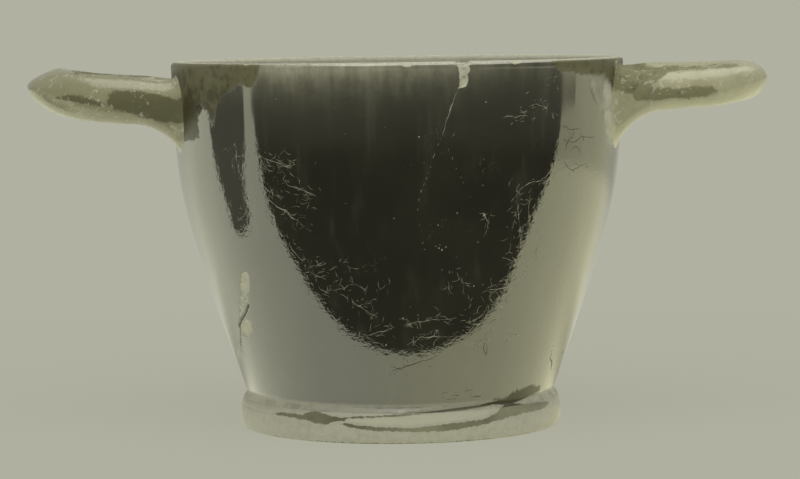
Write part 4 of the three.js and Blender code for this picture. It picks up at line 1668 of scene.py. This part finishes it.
def handlePiece(name, hand):
    s = handleShape
    start, rings, end = handleRings(hand)
    count = s["sides"]
    points = np.vstack([start[None], rings.reshape(-1, 3), end[None]])
    seed = hand["seed"]
    lumps = roughNoise(points, 0.05, seed) + 0.4 * roughNoise(points, 0.14, seed + 1)
    centres = np.vstack([start[None], np.repeat(rings.mean(axis=1), count, axis=0), end[None]])
    away = points - centres
    away /= np.maximum(np.linalg.norm(away, axis=1), 0.01)[:, None]
    fromWall = np.hypot(points[:, 0], points[:, 1]) - wallRadius(points[:, 2])
    calm = smoothStep(1.0, 10.0, fromWall)
    points += away * (lumps * s["lumps"] * calm)[:, None]
    cosTurn, sinTurn = math.cos(hand["turn"]), math.sin(hand["turn"])
    turnedX = points[:, 0] * cosTurn - points[:, 1] * sinTurn
    turnedY = points[:, 0] * sinTurn + points[:, 1] * cosTurn
    points = np.stack([turnedX, turnedY, points[:, 2]], 1)
    faces = []
    ringTotal = len(rings)
    for k in range(count):
        nextK = (k + 1) % count
        faces.append((0, 1 + nextK, 1 + k))
        for r in range(ringTotal - 1):
            a, b = 1 + r * count, 1 + (r + 1) * count
            faces.append((a + k, a + nextK, b + nextK, b + k))
        last = 1 + (ringTotal - 1) * count
        faces.append((len(points) - 1, last + k, last + nextK))
    mesh = bpy.data.meshes.new(name)
    mesh.from_pydata([tuple(p * mm) for p in points], [], faces)
    mesh.update()
    mesh.materials.append(handleGloss)
    for polygon in mesh.polygons:
        polygon.use_smooth = True
    made = bpy.data.objects.new(name, mesh)
    bpy.context.scene.collection.objects.link(made)
    outwards(made)
    return made


handleLeft = handlePiece("potHandleLeft", handleShape["left"])
handleRight = handlePiece("potHandleRight", handleShape["right"])
print("handles rolled")



def wearHandle(piece, outlines):
    # Paints the dark bands brown: partly wear, partly painted dark reflection.
    across, down = pixelsOf(coordsOf(piece))
    dark = np.max([patchField(across, down, np.array(outline, float)) for outline in outlines], axis=0)
    addFields(piece, brownField=dark * footWear["pixel"])


wearHandle(handleLeft, handleDark["left"])
wearHandle(handleRight, handleDark["right"])

for piece, node, slot in (
    (bowl, "bowl", "black_gloss"),
    (footRing, "foot_ring", "black_gloss"),
    (handleLeft, "handle_left", "worn_gloss"),
    (handleRight, "handle_right", "worn_gloss"),
):
    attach(piece, "root")
    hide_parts(node)

for piece in (scratches, darkScratches, cracks, crumbs):
    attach(piece, "root")


# Stage: pale paper, dark cloths that only reflections see, and soft lamps

# The glow that the gloss sees on the paper goes by the way round from the front, in half turns.
stage = {
    "background": (0.437, 0.44, 0.36, 1),
    "paperLit": 0.15,  # share of the paper that takes light and shadow
    "paperRing": [(0.0, 1.33), (0.25, 1.42), (0.45, 1.6), (0.6, 1.68), (0.73, 1.46), (0.8, 1.04), (0.84, 0.82),
                  (0.88, 0.68), (0.95, 0.48), (1.0, 0.43)],
    "farRight": 0.72,  # the glow far out on the right
    "ringScale": 2.0,
    "shadowBehindCup": 0.36,  # how much of that glow is left close behind the cup, a painted shadow of the cup
    "paperLeft": (1.0, 1.0, 0.77, 1),
    "paperRight": (1.02, 1.0, 0.66, 1),
    "paperBack": (1.0, 1.0, 0.83, 1),
    "clothNear": 0.07,
    "clothFar": 0.19,
    "tongueGlow": 0.255,
    "clothTint": (1.0, 1.0, 0.78, 1),
    "ambient": 0.3,
    "windowGlow": 2.6,
    "backGlow": 1.3,
    "bounce": 0.85,  # what matt surfaces get back from the paper
    # The window above: its edges in steps sideways and back for one step up.
    "windowLeft": -0.45,
    "windowRight": 1.1,
    "windowFront": -0.8,
    "windowBack": 0.2,
    "windowSlant": 0.75,
    "windowSeen": 2.9,
    "windowTint": (1.0, 1.0, 0.9, 1),
    "roomFront": 0.12,
    "roomBack": 0.43,
    # Where the dark cloth in front ends, left to right, mm.
    "clothEdge": [
        (-4000, -900), (-1720, -400), (-1630, -430), (-1290, -388), (-580, -224), (-295, -149), (-240, -138),
        (-150, -130), (0, -121), (58, -116), (97, -110), (142, -106), (200, -112), (310, -118), (430, -120),
        (840, -112), (1190, -98), (1600, -60), (1855, -20), (1935, 75), (1980, 330), (4000, 900),
    ],
    "clothFront": 5000,
    # The dark strip beside the cup on the left, mm.
    "tongue": [
        (-4000, 1650), (-2095, 870), (-2050, 770), (-1905, 660), (-1500, 448), (-885, 202), (-442, 36), (-374, 14),
        (-326, 10), (-299, -4), (-284, -27), (-284, -49), (-299, -67), (-339, -76), (-402, -77), (-720, -106),
        (-1020, -153), (-1370, -215), (-1790, -262), (-4000, -560),
    ],
}


def stagePlane(name, corners, material):
    mesh = bpy.data.meshes.new(name)
    mesh.from_pydata([Vector(c) * mm for c in corners], [], [tuple(range(len(corners)))])
    mesh.materials.append(material)
    made = bpy.data.objects.new(name, mesh)
    bpy.context.scene.collection.objects.link(made)
    return made


def rampNode(tree, value, stops, scale, where):  # a value along a list of stops, divided by its scale
    made = makeNode(tree, "ShaderNodeValToRGB", where)
    elements = made.color_ramp.elements
    for index, (at, level) in enumerate(stops):
        mark = elements[index] if index < 2 else elements.new(at)
        mark.position = at
        mark.color = (level / scale, level / scale, level / scale, 1)
    tree.links.new(value, made.inputs[0])
    return mathNode(tree, "MULTIPLY", made.outputs[0], scale, (where[0] + 250, where[1]))


def reflectionsOnly(tree, where):  # true for rays that a shiny or clear surface sends out
    rays = makeNode(tree, "ShaderNodeLightPath", where)
    both = mathNode(tree, "MAXIMUM", rays.outputs["Is Glossy Ray"], rays.outputs["Is Transmission Ray"],
                    (where[0] + 200, where[1]))
    return rays.outputs["Is Camera Ray"], both


def paperGlow(tree, spot):  # the colour and the strength that reflections see
    link = tree.links.new
    parts = makeNode(tree, "ShaderNodeSeparateXYZ", (-900, -300))
    link(spot, parts.inputs[0])
    front = mathNode(tree, "MULTIPLY", parts.outputs[1], -1.0, (-700, -400))
    turn = mathNode(tree, "ARCTAN2", mathNode(tree, "ABSOLUTE", parts.outputs[0], None, (-700, -250)), front,
                    (-550, -350))
    halfTurns = mathNode(tree, "DIVIDE", turn, math.pi, (-400, -350))
    ring = rampNode(tree, halfTurns, stage["paperRing"], stage["ringScale"], (-250, -350))
    reach = makeNode(tree, "ShaderNodeVectorMath", (-700, -600), {"operation": "LENGTH"})
    link(spot, reach.inputs[0])
    # Painted shadow of the cup on the glow, close round the foot and behind it, and a fade far out on the right.
    shadowAndFade = rangeNode(tree, reach.outputs["Value"], 0.068, 0.095, 0.66, 1.0, (-400, -600))
    shadowBehindCup = rangeNode(tree, reach.outputs["Value"], 0.12, 0.32, stage["shadowBehindCup"], 1.0, (-400, -700))
    back = rangeNode(tree, halfTurns, 0.55, 0.75, where=(-400, -800))
    dimmed = mixFloat(tree, back, 1.0, shadowBehindCup, (-200, -700))
    shadowAndFade = mathNode(tree, "MULTIPLY", shadowAndFade, dimmed, (-50, -650))
    across = mathNode(tree, "DIVIDE", parts.outputs[0], reach.outputs["Value"], (-550, -750))
    farOut = rangeNode(tree, reach.outputs["Value"], 0.6, 1.0, where=(-400, -950))
    farOut = mathNode(tree, "MULTIPLY", farOut, rangeNode(tree, across, 0.3, 0.6, where=(-400, -1000)),
                      (-250, -950))
    shadowAndFade = mathNode(tree, "MULTIPLY", shadowAndFade, mixFloat(tree, farOut, 1.0, stage["farRight"], (-100, -950)),
                       (0, -650))
    side = rangeNode(tree, across, -0.8, 0.8, 0.96, 1.03, (-400, -850))
    strength = mathNode(tree, "MULTIPLY", mathNode(tree, "MULTIPLY", ring, shadowAndFade, (50, -400)), side,
                        (200, -400))
    tint = mixColour(tree, rangeNode(tree, across, -0.5, 0.5, where=(-400, -1050)), stage["paperLeft"],
                     stage["paperRight"], (-150, -900))
    tint = mixColour(tree, rangeNode(tree, halfTurns, 0.65, 0.9, where=(-400, -1250)), tint,
                     stage["paperBack"], (100, -900))
    return tint, strength


def paperMaterial():
    material = bpy.data.materials.new("palePaper")
    material.use_nodes = True
    tree = material.node_tree
    tree.nodes.clear()
    link = tree.links.new
    output = makeNode(tree, "ShaderNodeOutputMaterial", (1200, 0))
    fromCamera, fromShine = reflectionsOnly(tree, (0, 500))
    spot = makeNode(tree, "ShaderNodeTexCoord", (-1100, -100)).outputs["Object"]
    lit = makeNode(tree, "ShaderNodeBsdfDiffuse", (0, 200))
    lit.inputs["Color"].default_value = stage["background"]
    flat = makeNode(tree, "ShaderNodeEmission", (0, 50))
    flat.inputs["Color"].default_value = stage["background"]
    reach = makeNode(tree, "ShaderNodeVectorMath", (-500, 100), {"operation": "LENGTH"})
    link(spot, reach.inputs[0])
    far = rangeNode(tree, reach.outputs["Value"], 0.25, 0.6, 1.0 - stage["paperLit"], 1.0, (-300, 100))
    seen = makeNode(tree, "ShaderNodeMixShader", (250, 150))
    link(far, seen.inputs[0])
    link(lit.outputs[0], seen.inputs[1])
    link(flat.outputs[0], seen.inputs[2])
    tint, strength = paperGlow(tree, spot)
    mirrored = makeNode(tree, "ShaderNodeEmission", (450, -300))
    link(tint, mirrored.inputs["Color"])
    link(strength, mirrored.inputs["Strength"])
    bounce = makeNode(tree, "ShaderNodeEmission", (450, 0))
    bounce.inputs["Color"].default_value = stage["clothTint"]
    bounce.inputs["Strength"].default_value = stage["bounce"]
    plain = makeNode(tree, "ShaderNodeMixShader", (650, 100))
    link(fromCamera, plain.inputs[0])
    link(bounce.outputs[0], plain.inputs[1])
    link(seen.outputs[0], plain.inputs[2])
    whole = makeNode(tree, "ShaderNodeMixShader", (900, 0))
    link(fromShine, whole.inputs[0])
    link(plain.outputs[0], whole.inputs[1])
    link(mirrored.outputs[0], whole.inputs[2])
    link(whole.outputs[0], output.inputs[0])
    return material


def clothMaterial(name, near, far):
    material = bpy.data.materials.new(name)
    material.use_nodes = True
    tree = material.node_tree
    tree.nodes.clear()
    link = tree.links.new
    output = makeNode(tree, "ShaderNodeOutputMaterial", (400, 0))
    glow = makeNode(tree, "ShaderNodeEmission", (100, 0))
    glow.inputs["Color"].default_value = stage["clothTint"]
    spot = makeNode(tree, "ShaderNodeTexCoord", (-700, 0)).outputs["Object"]
    reach = makeNode(tree, "ShaderNodeVectorMath", (-500, 0), {"operation": "LENGTH"})
    link(spot, reach.inputs[0])
    link(rangeNode(tree, reach.outputs["Value"], 0.8, 2.0, near, far, (-300, 0)), glow.inputs["Strength"])
    link(glow.outputs[0], output.inputs[0])
    return material


def reflectionOnly(thing):
    thing.visible_camera = False
    thing.visible_diffuse = False
    thing.visible_shadow = False
    thing.visible_transmission = False
    thing.visible_volume_scatter = False


def clothStrips(name, edge, front, material):  # a strip of faces from the edge out to the front
    points = [(x, y, 1) for x, y in edge] + [(x, -front, 1) for x, y in edge]
    count = len(edge)
    faces = [(k, k + count, k + count + 1, k + 1) for k in range(count - 1)]
    mesh = bpy.data.meshes.new(name)
    mesh.from_pydata([Vector(p) * mm for p in points], [], faces)
    mesh.materials.append(material)
    made = bpy.data.objects.new(name, mesh)
    bpy.context.scene.collection.objects.link(made)
    return made


def buildStage():
    far = 9000
    stagePlane("paper", [(-far, -far, 0), (far, -far, 0), (far, far, 0), (-far, far, 0)], paperMaterial())
    cloth = clothMaterial("darkCloth", stage["clothNear"], stage["clothFar"])
    strip = clothMaterial("greyCloth", stage["tongueGlow"], stage["tongueGlow"])
    front = clothStrips("frontCloth", stage["clothEdge"], stage["clothFront"], cloth)
    side = stagePlane("sideCloth", [(x, y, 2) for x, y in stage["tongue"]], strip)
    for thing in (front, side):
        reflectionOnly(thing)


def softLamp(name, place, size, glow, target=(0, 0, 0.09), colour=(1.0, 0.99, 0.86)):
    lamp = bpy.data.lights.new(name, "AREA")
    lamp.shape = "RECTANGLE"
    lamp.size, lamp.size_y = size
    lamp.energy = glow * math.pi * size[0] * size[1]
    lamp.color = colour
    made = bpy.data.objects.new(name, lamp)
    bpy.context.scene.collection.objects.link(made)
    way = Vector(target) - Vector(place)
    made.matrix_world = Matrix.Translation(Vector(place)) @ way.to_track_quat("-Z", "Y").to_matrix().to_4x4()
    made.visible_camera = False
    made.visible_glossy = False
    return made


def buildLamps():
    softLamp("windowLamp", (0.0, -0.75, 1.5), (2.2, 1.3), stage["windowGlow"])
    softLamp("backLamp", (0.3, 1.5, 1.3), (1.6, 0.7), stage["backGlow"])


def buildWorld():
    world = bpy.data.worlds.new("room")
    bpy.context.scene.world = world
    world.use_nodes = True
    tree = world.node_tree
    tree.nodes.clear()
    link = tree.links.new
    output = makeNode(tree, "ShaderNodeOutputWorld", (900, 0))
    fromCamera, fromShine = reflectionsOnly(tree, (0, 500))
    way = makeNode(tree, "ShaderNodeTexCoord", (-1100, -200)).outputs["Generated"]
    parts = makeNode(tree, "ShaderNodeSeparateXYZ", (-900, -200))
    link(way, parts.inputs[0])
    height = mathNode(tree, "MAXIMUM", parts.outputs[2], 0.001, (-700, -50))
    aside = mathNode(tree, "DIVIDE", parts.outputs[0], height, (-550, -50))
    back = mathNode(tree, "DIVIDE", parts.outputs[1], height, (-550, -200))
    slant = mathNode(tree, "MULTIPLY", mathNode(tree, "MAXIMUM", aside, 0.0, (-400, -350)),
                     -stage["windowSlant"], (-250, -350))
    unslanted = mathNode(tree, "ADD", back, slant, (-100, -350))
    window = rangeNode(tree, aside, stage["windowLeft"] - 0.06, stage["windowLeft"], where=(-250, 0))
    for value, low, high in ((aside, stage["windowRight"] + 0.06, stage["windowRight"]),
                             (back, stage["windowFront"] - 0.04, stage["windowFront"]),
                             (unslanted, stage["windowBack"] + 0.1, stage["windowBack"])):
        edge = rangeNode(tree, value, low, high, where=(-100, 0))
        window = mathNode(tree, "MULTIPLY", window, edge, (50, 0))
    behind = rangeNode(tree, back, -0.2, 0.2, stage["roomFront"], stage["roomBack"], (50, -200))
    room = mathNode(tree, "MULTIPLY", window, stage["windowSeen"], (200, 0))
    room = mathNode(tree, "MAXIMUM", room, behind, (300, -100))
    seen = makeNode(tree, "ShaderNodeBackground", (0, 300))
    seen.inputs["Color"].default_value = stage["background"]
    mirrored = makeNode(tree, "ShaderNodeBackground", (100, 0))
    mirrored.inputs["Color"].default_value = stage["windowTint"]
    link(room, mirrored.inputs["Strength"])
    ambient = makeNode(tree, "ShaderNodeBackground", (100, -250))
    ambient.inputs["Color"].default_value = (1, 1, 0.86, 1)
    ambient.inputs["Strength"].default_value = stage["ambient"]
    first = makeNode(tree, "ShaderNodeMixShader", (350, 0))
    link(fromShine, first.inputs[0])
    link(ambient.outputs[0], first.inputs[1])
    link(mirrored.outputs[0], first.inputs[2])
    whole = makeNode(tree, "ShaderNodeMixShader", (600, 0))
    link(fromCamera, whole.inputs[0])
    link(first.outputs[0], whole.inputs[1])
    link(seen.outputs[0], whole.inputs[2])
    link(whole.outputs[0], output.inputs[0])


buildStage()
buildLamps()
buildWorld()
bpy.context.scene.view_settings.view_transform = "Standard"
print("stage set")
